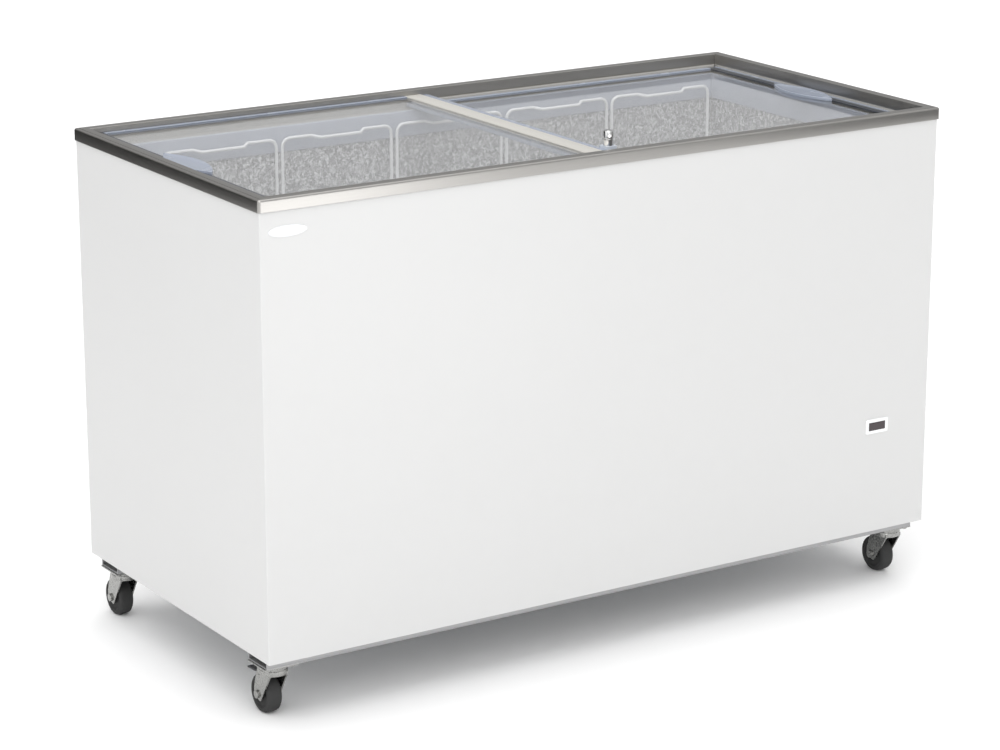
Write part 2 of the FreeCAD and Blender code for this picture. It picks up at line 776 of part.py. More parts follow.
def build_base():
    """Two open steel channels under the cabinet, each a web and two flanges."""
    ends = "-channel_half_length", "channel_half_length"
    for side, sign in (("front", "-"), ("rear", "")):
        low, high = f"{sign}caster_y - channel_width / 2", f"{sign}caster_y + channel_width / 2"
        web = block(f"Web{side}", (ends[0], low, "caster_height"),
                    (ends[1], high, "caster_height + channel_wall"))
        near = block(f"NearFlange{side}", (ends[0], low, "caster_height + channel_wall"),
                     (ends[1], f"{low} + channel_wall", "body_bottom"))
        far = block(f"FarFlange{side}", (ends[0], f"{high} - channel_wall", "caster_height + channel_wall"),
                    (ends[1], high, "body_bottom"))
        node(grouped(f"Channel{side}", [web, near, far]), f"base_channel_{side}")


def build_drain():
    """Drain tube through the floor, with a hose spigot below it and a rubber plug on top."""
    pipe = rod("DrainPipe", ("drain_x", "0", "body_bottom"), "drain_radius",
               "liner_floor - panel_sheet - body_bottom")
    spigot = rod("DrainSpigot", ("drain_x", "0", "body_bottom - drain_spigot"), "drain_spigot_radius",
                 "drain_spigot + drain_spigot_root")
    bore = rod("DrainBore", ("drain_x", "0", "body_bottom - drain_spigot - 1"), "drain_bore_radius",
               "overall_height")
    node(cut("DrainTube", fused("DrainForm", [pipe, spigot]), [bore]), "drain_tube")
    stem = rod("PlugStem", ("drain_x", "0", "liner_floor - drain_plug_stem"), "drain_bore_radius",
               "drain_plug_stem")
    head = rod("PlugHead", ("drain_x", "0", "liner_floor"), "drain_plug_head", "drain_plug_rise")
    node(fused("DrainPlug", [stem, head]), "drain_plug")


# ---------------------------------------------------------------- fittings on the panels

def build_fittings():
    """Thermometer, blank badge plate and the cord gland."""
    face = "-shell_half_depth"
    body = block("ThermometerBezel",
                 ("thermometer_x - thermometer_width / 2", f"{face} - thermometer_proud",
                  "thermometer_z - thermometer_height / 2"),
                 ("thermometer_x + thermometer_width / 2", face, "thermometer_z + thermometer_height / 2"))
    glazed_x, glazed_z = "thermometer_window_width / 2", "thermometer_window_height / 2"
    case_x, case_z = f"{glazed_x} + thermometer_case_wall", f"{glazed_z} + thermometer_case_wall"
    case = block("ThermometerCase",
                 (f"thermometer_x - ({case_x})", f"{face} - thermometer_lap", f"thermometer_z - ({case_z})"),
                 (f"thermometer_x + {case_x}", f"{face} + thermometer_body_depth",
                  f"thermometer_z + {case_z}"))
    front = f"{face} - thermometer_proud"
    low = (f"thermometer_x - {glazed_x}", f"{front} - 1", f"thermometer_z - {glazed_z}")
    high = (f"thermometer_x + {glazed_x}", f"{front} + window_sink + window_thickness",
            f"thermometer_z + {glazed_z}")
    seat = block("WindowSeat", low, high)
    node(cut("Thermometer", fused("ThermometerBody", [body, case]), [seat]), "thermometer_body")
    pane = block("ThermometerPane", (low[0], f"{front} + window_sink", low[2]), high)
    node(pane, "thermometer_window")

    badge = document.addObject("Part::Ellipsoid", "BadgeForm")
    badge.Placement = Placement(Vector(), Rotation(Vector(1, 0, 0), 90))
    badge.setExpression("Radius1", formula("badge_thickness"))
    badge.setExpression("Radius2", formula("badge_width / 2"))
    badge.setExpression("Radius3", formula("badge_height / 2"))
    for letter, value in zip("xyz", ("badge_x", face, "badge_z")):
        badge.setExpression(f"Placement.Base.{letter}", formula(value))
    behind = block("BadgeBack", ("badge_x - badge_width", face, "badge_z - badge_height"),
                   ("badge_x + badge_width", f"{face} + 5", "badge_z + badge_height"))
    node(cut("Badge", badge, [behind]), "badge_plate")

    mouth = ("gland_x", "shell_half_depth", "gland_z")
    flange = rod("GlandFlange", mouth, "gland_radius", "gland_proud", "y")
    neck = rod("GlandNeck", ("gland_x", "shell_half_depth - gland_length", "gland_z"),
               "gland_neck_radius", "gland_length + 1", "y")
    bore = rod("GlandBore", ("gland_x", "shell_half_depth - gland_length - 1", "gland_z"),
               "gland_bore_radius", "gland_length + gland_proud + 2", "y")
    node(cut("CordGland", fused("GlandForm", [flange, neck]), [bore]), "cord_gland")


# ---------------------------------------------------------------- compressor compartment

def build_machine():
    """Hermetic compressor on grommets, its tray, terminal box and pipes with the drier."""
    tray = block("Tray",
                 ("compartment_left + compressor_tray_gap", "compressor_y - compressor_tray_width / 2",
                  "body_bottom + panel_sheet"),
                 ("shell_half_width - panel_sheet - compressor_tray_gap",
                  "compressor_y + compressor_tray_width / 2", "tray_top"))
    node(tray, "compressor_tray")
    body = make_body("CompressorShell")
    profile = make_sketch(body, "CompressorOutline", "XZ_Plane")
    wall, seam = "compressor_radius", "compressor_radius + compressor_seam"
    middle = "compressor_body_height / 2"
    crown = "compressor_body_height + compressor_dome"
    outline(profile, [
        ("0", "-compressor_foot"), ("compressor_base_radius", "-compressor_foot"),
        (wall, "compressor_base_rise", "compressor_base_bend"), (wall, middle), (seam, middle),
        (seam, f"{middle} + compressor_seam_height"), (wall, f"{middle} + compressor_seam_height"),
        (wall, crown, "compressor_dome_bend"), ("0", crown),
    ])
    turned = body.newObject("PartDesign::Revolution", "CompressorTurned")
    turned.Profile = profile
    turned.ReferenceAxis = (profile, ["V_Axis"])
    turned.Angle = 360
    put(body, "compressor_x", "compressor_y", "compressor_base + compressor_foot")
    foot_x, foot_y = "compressor_foot_length / 2", "compressor_foot_width / 2"
    foot_low = (f"compressor_x - {foot_x}", f"compressor_y - {foot_y}", "compressor_base")
    foot_high = (f"compressor_x + {foot_x}", f"compressor_y + {foot_y}", "compressor_base + compressor_foot")
    foot = block("CompressorFeet", foot_low, foot_high)
    node(fused("Compressor", [body, foot]), "compressor_shell")
    grommets = []
    for across in "-+":
        for along in "-+":
            grommets.append(rod(f"Grommet{len(grommets) + 1}",
                                (f"compressor_x {across} grommet_spacing_x / 2",
                                 f"compressor_y {along} grommet_spacing_y / 2", "tray_top"),
                                "grommet_radius", "grommet_height"))
    node(grouped("Grommets", grommets), "compressor_grommets")
    near = "compressor_y - compressor_radius - terminal_box_gap"
    box = block("TerminalBox",
                ("compressor_x - terminal_box_width / 2", f"{near} - terminal_box_depth",
                 "compressor_base + terminal_box_rise"),
                ("compressor_x + terminal_box_width / 2", near,
                 "compressor_base + terminal_box_rise + terminal_box_height"))
    node(box, "terminal_box")

    drier_y = "compressor_y - compressor_tray_width / 2 - drier_to_tray"
    drier = rod("Drier", ("compressor_x", drier_y, "tray_top + drier_height"), "drier_radius", "drier_length")
    pipes = modelled("Pipes", Part.makeCompound(pipe_runs(size(drier_y))))
    node(grouped("PipesAndDrier", [pipes, drier]), "refrigerant_pipes")
    build_vent_cover()


def pipe_runs(drier_y):
    """Discharge pipe to the drier, capillary from it, and the suction pipe, each up to its next piece."""
    x, y = size("compressor_x"), size("compressor_y")
    foot, top = size("tray_top + drier_height"), size("tray_top + drier_height + drier_length")
    wall = size("compartment_left + pipe_wall_gap")
    roof = size("body_bottom + compartment_height")
    ceiling = roof - size("pipe_ceiling_gap")
    radius = size("pipe_radius")
    side = x - size("compressor_radius + pipe_gap")
    start_y, front_y = y - size("discharge_set_back"), drier_y - size("discharge_reach")
    high, low = foot + size("discharge_rise"), foot - size("discharge_dip")
    discharge = tube([Vector(side, start_y, high), Vector(wall, start_y, high), Vector(wall, front_y, high),
                      Vector(wall, front_y, low), Vector(x, front_y, low), Vector(x, drier_y, low),
                      Vector(x, drier_y, foot)], radius, size("discharge_bend"))
    aside = x - size("capillary_reach")
    capillary = tube([Vector(x, drier_y, top), Vector(x, drier_y, ceiling), Vector(aside, drier_y, ceiling),
                      Vector(aside, drier_y, roof)], size("capillary_radius"), size("capillary_bend"))
    rear = y + size("compressor_radius")
    begin, reach = rear + size("suction_start"), rear + size("suction_reach")
    level = foot + size("suction_rise")
    jog = wall + size("suction_jog")
    suction = tube([Vector(x, begin, level), Vector(x, reach, level), Vector(jog, reach, level),
                    Vector(jog, reach, roof)], radius, size("pipe_bend"))
    return [discharge, capillary, suction]


def build_vent_cover():
    """Slotted steel cover over the compartment's opening, with its four screws."""
    outer = "shell_half_depth"
    plate = block("VentPlate", ("vent_x - vent_width / 2", outer, "vent_z - vent_height / 2"),
                  ("vent_x + vent_width / 2", f"{outer} + vent_plate", "vent_z + vent_height / 2"))
    slots = []
    count = int(size("vent_height - 2 * vent_end_border") // size("vent_slot_pitch"))
    for row in range(count):
        base = f"vent_z + {row - (count - 1) / 2} * vent_slot_pitch"
        slots.append(block(f"VentSlot{row + 1}",
                           ("vent_x - vent_width / 2 + vent_border", f"{outer} - 1",
                            f"{base} - vent_slot_height / 2"),
                           ("vent_x + vent_width / 2 - vent_border", f"{outer} + vent_plate + 1",
                            f"{base} + vent_slot_height / 2")))
    node(cut("VentCover", plate, slots), "vent_cover")
    screws = []
    for across in ("-", "+"):
        for up in ("-", "+"):
            place = (f"vent_x {across} (vent_width / 2 - vent_screw_inset)", f"{outer} + vent_plate",
                     f"vent_z {up} (vent_height / 2 - vent_screw_inset)")
            name = f"VentScrew{len(screws) + 1}"
            screws.append(rod(name, place, "vent_screw_radius", "vent_screw_height", "y"))
    node(grouped("VentScrews", screws), "vent_screws")


# ---------------------------------------------------------------- sliding lids

def runner_section(side):
    """Edge channel that grips the glass, with the foot it slides on. It opens towards the lid."""
    return [
        ("0", "0"), ("0", "runner_height"), ("runner_width", "runner_height"),
        ("runner_width", "glass_lift + glass_thickness"),
        ("runner_width - glass_grip_depth", "glass_lift + glass_thickness"),
        ("runner_width - glass_grip_depth", "glass_lift"), ("runner_width", "glass_lift"),
        ("runner_width", "glass_lift - runner_lip"), ("runner_foot_width", "glass_lift - runner_lip"),
        ("runner_foot_width", "0"),
    ] if side == "front" else [
        ("0", "0"), ("0", "runner_height"), ("-runner_width", "runner_height"),
        ("-runner_width", "glass_lift + glass_thickness"),
        ("-runner_width + glass_grip_depth", "glass_lift + glass_thickness"),
        ("-runner_width + glass_grip_depth", "glass_lift"), ("-runner_width", "glass_lift"),
        ("-runner_width", "glass_lift - runner_lip"), ("-runner_foot_width", "glass_lift - runner_lip"),
        ("-runner_foot_width", "0"),
    ]


def lens(sketch, centre_x, half_long, half_wide):
    """A lens of two equal arcs, long along Y."""
    x, reach, rise = size(centre_x), size(half_long), size(half_wide)
    tips = Vector(x, -reach, 0), Vector(x, reach, 0)
    right = sketch.addGeometry(Part.Arc(tips[0], Vector(x + rise, 0, 0), tips[1]), False)
    left = sketch.addGeometry(Part.Arc(tips[1], Vector(x - rise, 0, 0), tips[0]), False)
    sketch.addConstraint(Sketcher.Constraint("Coincident", right, 1, left, 2))
    sketch.addConstraint(Sketcher.Constraint("Coincident", right, 2, left, 1))
    pin_point(sketch, right, 1, centre_x, f"-({half_long})")
    pin_point(sketch, right, 2, centre_x, half_long)
    bow = f"(({half_long}) ^ 2 + ({half_wide}) ^ 2) / (2 * ({half_wide}))"
    for arc in (right, left):
        index = sketch.addConstraint(Sketcher.Constraint("Radius", arc, size(bow)))
        sketch.setExpression(f"Constraints[{index}]", formula(bow))


def build_lid(which, sign, base, half, inner_end):
    """One lid. Its outer end lies towards sign * X, and inner_end is where the runners stop."""
    outer = f"{sign}lid_outer_end"
    seam = f"{sign}(lid_outer_end - end_profile_width)"
    glass_low = f"{base} + glass_lift"
    glass_high = f"{glass_low} + glass_thickness"
    glass_outer = f"{sign}(lid_outer_end - end_profile_width + glass_grip_depth)"
    glass_inner = f"{inner_end} {'+' if sign == '-' else '-'} glass_grip_depth"
    near, far = (glass_outer, glass_inner) if sign == "-" else (glass_inner, glass_outer)
    grip = f"{half} - runner_width + glass_grip_depth"
    node(block(which + "Pane", (near, f"-({grip})", glass_low), (far, grip, glass_high)), f"{which}_glass")

    low, high = (seam, inner_end) if sign == "-" else (inner_end, seam)
    runners = []
    for side in ("front", "rear"):
        body = make_body(which + "Runner" + side)
        profile = make_sketch(body, f"{which}Runner{side}Section", "YZ_Plane")
        outline(profile, runner_section(side))
        pad(body, profile, f"({high}) - ({low})")
        put(body, low, f"{'-' if side == 'front' else ''}({half})", base)
        runners.append(body)
    node(grouped(which + "Runners", runners), f"{which}_runners")

    body = make_body(which + "EndProfile")
    profile = make_sketch(body, f"{which}EndSection", "XZ_Plane")
    floor = f"{base} + glass_lift - runner_lip"
    crown = f"{base} + runner_height"
    outline(profile, [
        (outer, floor), (outer, crown), (seam, crown), (seam, glass_high), (glass_outer, glass_high),
        (glass_outer, glass_low), (seam, glass_low), (seam, floor),
    ])
    pad(body, profile, f"2 * ({half})", centred=True)
    plan = make_sketch(body, f"{which}GripPlan", "XY_Plane", glass_high)
    lens(plan, f"{sign}(lid_outer_end - grip_width / 2 - grip_end_gap)", "grip_length / 2", "grip_width / 2")
    pad(body, plan, "runner_lip + grip_rise")
    node(body, f"{which}_end_profile")


def build_lids():
    build_lid("upper_lid", "-", "upper_lid_base", "upper_lid_half_depth", "stile_left")
    build_lid("lower_lid", "", "lower_lid_base", "lower_lid_half_depth", "stile_right")

    glass_low = "upper_lid_base + glass_lift"
    glass_high = f"{glass_low} + glass_thickness"
    seat = "stile_left + glass_grip_depth + stile_seat_gap"
    groove_floor = f"{glass_high} - stile_groove_depth"
    body = make_body("UpperStile")
    profile = make_sketch(body, "UpperStileSection", "XZ_Plane")
    outline(profile, [
        ("stile_left", "stile_underside"), ("strip_right", "stile_underside"),
        ("strip_right", glass_high), ("stile_right + stile_groove", glass_high),
        ("stile_right + stile_groove", groove_floor), ("stile_right", groove_floor),
        ("stile_right", "upper_lid_top", "stile_edge_radius"),
        ("stile_left", "upper_lid_top", "stile_edge_radius"),
        ("stile_left", glass_high), (seat, glass_high), (seat, glass_low), ("stile_left", glass_low),
    ])
    pad(body, profile, "2 * upper_lid_half_depth", centred=True)
    node(body, "upper_lid_stile")

    glass_low = "lower_lid_base + glass_lift"
    glass_high = f"{glass_low} + glass_thickness"
    seat = "stile_right - glass_grip_depth - stile_seat_gap"
    lip_left = "stile_left + draught_lip_inset"
    body = make_body("LowerStile")
    profile = make_sketch(body, "LowerStileSection", "XZ_Plane")
    outline(profile, [
        ("stile_left", f"{glass_low} - runner_lip"), ("stile_right", f"{glass_low} - runner_lip"),
        ("stile_right", glass_low), (seat, glass_low), (seat, glass_high), ("stile_right", glass_high),
        ("stile_right", "lower_lid_top"), (f"{lip_left} + draught_lip_width", "lower_lid_top"),
        (f"{lip_left} + draught_lip_width", "stile_underside - draught_gap"),
        (lip_left, "stile_underside - draught_gap"), (lip_left, "lower_lid_top"),
        ("stile_left", "lower_lid_top"),
    ])
    pad(body, profile, "2 * lower_lid_half_depth", centred=True)
    node(body, "lower_lid_stile")


def build_lock():
    """Push lock on the upper lid: block, barrel and key plug, and its keeper on the lower lid."""
    half = "lock_block_width / 2"
    form = block("LockForm", ("lock_left", f"lock_y - {half}", "stile_underside"),
                 (f"lock_x + {half}", f"lock_y + {half}", "lock_block_top"))
    bore = rod("LockBore", ("lock_x", "lock_y", "stile_underside - 1"),
               "lock_barrel_radius + lock_bore_clearance", "lock_block_height + 2")
    node(cut("LockBlock", form, [bore]), "lock_block")

    body = make_body("LockBarrel")
    profile = make_sketch(body, "BarrelOutline", "XZ_Plane")
    tall, radius = "lock_barrel_height", "lock_barrel_radius"
    waist = "lock_barrel_radius - lock_waist_depth"
    neck, neck_top = "lock_waist_height", "lock_waist_height + lock_waist_length"
    hollow = "lock_plug_radius + lock_plug_clearance"
    outline(profile, [
        ("0", "-(lock_sunk)"), (radius, "-(lock_sunk)"),
        (radius, neck), (waist, f"{neck} + lock_waist_slope"),
        (waist, f"{neck_top} - lock_waist_slope"), (radius, neck_top), (radius, tall, "lock_edge_radius"),
        (hollow, tall), (hollow, f"{tall} - lock_plug_depth"), ("0", f"{tall} - lock_plug_depth"),
    ])
    turned = body.newObject("PartDesign::Revolution", "BarrelTurned")
    turned.Profile = profile
    turned.ReferenceAxis = (profile, ["V_Axis"])
    turned.Angle = 360
    node(put(body, "lock_x", "lock_y", "lock_block_top"), "lock_barrel")

    top = "lock_block_top + lock_barrel_height"
    plug = rod("PlugForm", ("lock_x", "lock_y", f"{top} - lock_plug_depth + lock_plug_clearance"),
               "lock_plug_radius", "lock_plug_depth - lock_plug_clearance + key_plug_proud")
    half_slot, half_long = "key_slot_width / 2", "key_slot_length / 2"
    slot = block("KeySlot", (f"lock_x - {half_slot}", f"lock_y - {half_long}", f"{top} - key_slot_depth"),
                 (f"lock_x + {half_slot}", f"lock_y + {half_long}", f"{top} + 1"))
    node(cut("LockPlug", plug, [slot]), "lock_key_plug")

    left = "lock_x + lock_barrel_radius + keeper_gap"
    keeper = block("Keeper", (left, f"lock_y - {half}", "lower_glass_top"),
                   (f"{left} + keeper_width", f"lock_y + {half}", "stile_underside - keeper_clearance"))
    node(keeper, "lock_keeper")


# ---------------------------------------------------------------- casters

def build_caster(number, across, along, braked):
    """A swivel caster: fork with its axle, wheel, and a brake pedal on the braked ones."""
    x, y = f"{across}caster_x", f"{along}caster_y"
    axle_z = "wheel_radius"
    fork = make_body(f"Fork{number}")
    side = make_sketch(fork, f"ForkSide{number}", "YZ_Plane")
    front, rear = "caster_trail - fork_boss_radius", "caster_trail + fork_boss_radius"
    heel, cheek = "-race_radius + fork_heel_reach", "fork_top - fork_head_cover"
    outline(side, [
        (rear, f"{axle_z} - fork_axle_drop", "fork_bend"), (front, f"{axle_z} - fork_toe_drop", "fork_bend"),
        (heel, "fork_top - fork_head_height"), (heel, cheek), ("race_radius - fork_throat_reach", cheek),
        ("race_radius + fork_nose_reach", f"{axle_z} + fork_shoulder", "fork_shoulder_bend"),
        (rear, f"{axle_z} + fork_boss_radius", "fork_bend"),
    ])
    pad(fork, side, "2 * fork_half", centred=True)
    slot = make_sketch(fork, f"ForkSlot{number}", "XZ_Plane")
    outline(slot, [
        ("-fork_slot_half", "0"), ("fork_slot_half", "0"),
        ("fork_slot_half", "fork_top - fork_head_height", "fork_slot_bend"),
        ("-fork_slot_half", "fork_top - fork_head_height", "fork_slot_bend"),
    ])
    pocket(fork, slot, "6 * wheel_radius", centred=True)
    head = make_sketch(fork, f"ForkHead{number}", "XY_Plane", "fork_top - fork_head_height")
    circle(head, "0", "0", "race_radius")
    pad(fork, head, "fork_head_height")
    put(fork, x, y)
    bore = rod(f"KingpinHole{number}", (x, y, "fork_top - fork_head_height - 1"),
               "kingpin_radius + kingpin_gap", "fork_head_height + 2")
    axle_bore = rod(f"AxleHole{number}", (f"{x} - fork_half - 1", f"{y} + caster_trail", axle_z),
                    "axle_radius", "2 * fork_half + 2", "x")
    holes = [bore, axle_bore]
    pivot = (f"{x} - fork_half", f"{y} + pedal_pivot_back", "pedal_pivot_z")
    if braked:
        holes.append(rod(f"PedalPinHole{number}", (f"{pivot[0]} - 1", pivot[1], pivot[2]),
                         "pedal_pin_radius + pedal_pin_gap", "2 * fork_half + 2", "x"))
    drilled = cut(f"ForkDrilled{number}", fork, holes)
    shaft = rod(f"AxleShaft{number}", (f"{x} - fork_half", f"{y} + caster_trail", axle_z),
                "axle_radius", "2 * fork_half", "x")
    bolt_head = rod(f"AxleHead{number}",
                    (f"{x} - fork_half - axle_head_height", f"{y} + caster_trail", axle_z),
                    "axle_head_radius", "axle_head_height", "x")
    nut = rod(f"AxleNut{number}", (f"{x} + fork_half", f"{y} + caster_trail", axle_z),
              "axle_head_radius", "axle_head_height", "x")
    axle = fused(f"Axle{number}", [bolt_head, shaft, nut])
    node(grouped(f"ForkAndAxle{number}", [drilled, axle]), f"caster_{number}_fork")

    wheel = make_body(f"Wheel{number}")
    profile = make_sketch(wheel, f"WheelOutline{number}", "XZ_Plane")
    bore_radius = "axle_radius + axle_running_gap"
    half = "wheel_width / 2"
    hub_half = "fork_slot_half - wheel_hub_gap"
    hub, flare = "wheel_hub_radius", "wheel_hub_radius + wheel_hub_flare"
    dish, web = f"{half} - wheel_dish", "wheel_dish_inset"
    ring_in, ring_out = "wheel_radius - wheel_rim_inner", "wheel_radius - wheel_rim_outer"
    shoulder, tread = "wheel_radius - wheel_shoulder", f"{half} - wheel_tread_edge"
    bend, crown = "wheel_shoulder_bend", "wheel_tread_edge"
    outline(profile, [
        (f"-({hub_half})", bore_radius), (hub_half, bore_radius), (hub_half, hub), (half, flare),
        (dish, web), (dish, ring_in), (half, ring_out),
        (half, shoulder, bend), (tread, "wheel_radius", crown),
        (f"-({tread})", "wheel_radius", crown), (f"-{half}", shoulder, bend), (f"-{half}", ring_out),
        (f"-({dish})", ring_in), (f"-({dish})", web), (f"-{half}", flare), (f"-({hub_half})", hub),
    ])
    turned = wheel.newObject("PartDesign::Revolution", f"WheelTurned{number}")
    turned.Profile = profile
    turned.ReferenceAxis = (profile, ["H_Axis"])
    turned.Angle = 360
    node(put(wheel, x, f"{y} + caster_trail", axle_z), f"caster_{number}_wheel")

    if braked:
        pedal = make_body(f"Pedal{number}")
        section = make_sketch(pedal, f"PedalSection{number}", "YZ_Plane")
        half, drop = "pedal_thickness / 2", "pedal_length * tan(pedal_tilt)"
        outline(section, [
            ("-pedal_heel", f"-{half}", "pedal_bend"), ("0", f"-{half}"),
            ("pedal_length", f"-{half} - {drop}", "pedal_bend"),
            ("pedal_length", f"{half} - {drop}", "pedal_bend"), ("0", half),
            ("-pedal_heel", half, "pedal_bend"),
        ])
        pad(pedal, section, "pedal_width", centred=True)
        put(pedal, x, f"{y} + pedal_pivot_back", "pedal_pivot_z")
        pin = rod(f"PedalPin{number}", pivot, "pedal_pin_radius", "2 * fork_half", "x")
        node(fused(f"PedalAndPin{number}", [pedal, pin]), f"caster_{number}_pedal")


def build_casters():
    corners = (("-", "-", True), ("", "-", True), ("-", "", False), ("", "", False))
    plates, bolts = [], []
    for number, (across, along, braked) in enumerate(corners, start=1):
        build_caster(number, across, along, braked)
        x, y = f"{across}caster_x", f"{along}caster_y"
        half = "plate_size / 2"
        plate = block(f"Plate{number}", (f"{x} - {half}", f"{y} - {half}", "plate_underside"),
                      (f"{x} + {half}", f"{y} + {half}", "caster_height"))
        race = rod(f"Race{number}", (x, y, "race_underside"), "race_radius", "race_height")
        pin = rod(f"Kingpin{number}", (x, y, "race_underside - kingpin_length"), "kingpin_radius",
                  "kingpin_length + kingpin_root")
        pin_head = rod(f"KingpinHead{number}",
                       (x, y, "race_underside - race_gap - fork_head_height - kingpin_head_gap"),
                       "kingpin_radius + kingpin_head", "kingpin_head_height")
        plates.append(fused(f"PlateAndRace{number}", [plate, race, pin, pin_head]))
        spread = "plate_bolt_spacing / 2"
        for dx in ("-", "+"):
            for dy in ("-", "+"):
                bolts.append(rod(f"PlateBolt{len(bolts) + 1}",
                                 (f"{x} {dx} {spread}", f"{y} {dy} {spread}",
                                  "plate_underside - plate_bolt_head_height"),
                                 "plate_bolt_head", "plate_bolt_head_height"))
    node(grouped("CasterPlates", plates), "caster_plates")
    node(grouped("CasterBolts", bolts), "caster_bolts")


# ---------------------------------------------------------------- baskets

def wire(start, end, radius):
    """A straight round wire."""
    return Part.makeCylinder(radius, (end - start).Length, start, end - start)


def elbow(corner, first, last, bend, radius):
    """A quarter bend of wire that leaves the corner along first and last."""
    start, end = corner + first * bend, corner + last * bend
    middle = corner + (first + last) * (bend * (1 - math.sqrt(0.5)))
    path = Part.Wire([Part.Arc(start, middle, end).toShape()])
    section = Part.Wire(Part.makeCircle(radius, start, first))
    return path.makePipeShell([section], True, False)


def basket_shape(centre, floor):
    """Bars of a welded basket: two bent end frames, two rings, uprights and a floor of bars."""
    half_w = size("basket_width / 2 - basket_frame_wire")
    half_d = size("basket_half_depth")
    thick, thin = size("basket_frame_wire"), size("basket_mesh_wire")
    bend = size("basket_corner_bend")
    top, mesh = size("basket_rim") - thick, size("basket_mesh_top")
    dip_half = size("basket_dip_width / 2")
    dip_in, dip_down = size("basket_dip_inward"), size("basket_dip_down")
    slope = size("basket_dip_slope")
    base = floor + thick
    bars = []
    for end in (-1, 1):
        y = end * half_d
        for side in (-1, 1):
            corner = Vector(centre + side * half_w, y, top)
            post_top = corner - Vector(0, 0, bend)
            bars.append(wire(Vector(corner.x, y, base), post_top, thick))
            bars.append(elbow(corner, Vector(0, 0, -1), Vector(-side, 0, 0), bend, thick))
            shoulder = Vector(centre + side * (dip_half + slope), y, top)
            well = Vector(centre + side * dip_half, y - end * dip_in, top - dip_down)
            bars.append(wire(corner - Vector(side * bend, 0, 0), shoulder, thick))
            bars.append(wire(shoulder, well, thick))
        left = Vector(centre - dip_half, y - end * dip_in, top - dip_down)
        bars.append(wire(left, left + Vector(2 * dip_half, 0, 0), thick))
    inner_w, inner_d = half_w - thick - thin, half_d - thick - thin
    for height in (mesh - thin, floor + thin):
        for side in (-1, 1):
            x, y = centre + side * (half_w - thick - thin), side * (half_d - thick - thin)
            bars.append(wire(Vector(x, -half_d, height), Vector(x, half_d, height), thin))
            bars.append(wire(Vector(centre - half_w, y, height), Vector(centre + half_w, y, height), thin))
    uprights, crossbars = int(size("basket_uprights")), int(size("basket_crossbars"))
    for step in range(1, uprights + 1):
        y = -inner_d + 2 * inner_d * step / (uprights + 1)
        for side in (-1, 1):
            x = centre + side * (half_w - thick + thin)
            bars.append(wire(Vector(x, y, floor), Vector(x, y, mesh), thin))
        low = floor + 3 * thin
        bars.append(wire(Vector(centre - inner_w, y, low), Vector(centre + inner_w, y, low), thin))
    for step in range(1, crossbars + 1):
        x = centre - inner_w + 2 * inner_w * step / (crossbars + 1)
        for side in (-1, 1):
            y = side * (half_d - thick + thin)
            bars.append(wire(Vector(x, y, floor), Vector(x, y, mesh), thin))
        bars.append(wire(Vector(x, -half_d, floor + thin), Vector(x, half_d, floor + thin), thin))
    return Part.makeCompound(bars)


def build_baskets():
    """Five baskets in a row, the last on the step over the compressor, with their rims level."""
    for number in range(1, BASKETS + 1):
        centre = size("last_basket_x") - (BASKETS - number) * size("basket_pitch")
        floor = size("liner_floor + basket_floor_gap")
        if number == SHALLOW_BASKET:
            floor = size("step_top + basket_floor_gap")
        node(modelled(f"Basket{number}", basket_shape(centre, floor)), f"basket_{number}")


# ---------------------------------------------------------------- the whole freezer

def check_and_write():
    """Stop on any failed object or broken shape, then write one STEP file for each node."""
    document.recompute()
    for item in document.Objects:
        if "Invalid" in item.State or "Error" in item.State:
            raise RuntimeError(f"{item.Label} failed: {item.State}")
    for name, item in nodes.items():
        if item.Shape.isNull() or not item.Shape.isValid():
            raise RuntimeError(f"{name} has a broken shape")
    os.makedirs("parts", exist_ok=True)
    for name, item in nodes.items():
        item.Shape.exportStep(f"parts/{name}.step")
    print(f"{len(nodes)} nodes written")


build_rails()
build_shell()
build_liner()
build_insulation()
build_base()
build_drain()
build_fittings()
build_machine()
build_lids()
build_lock()
build_casters()
build_baskets()
check_and_write()
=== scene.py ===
"""Chest freezer with sliding glass lids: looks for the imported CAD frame."""

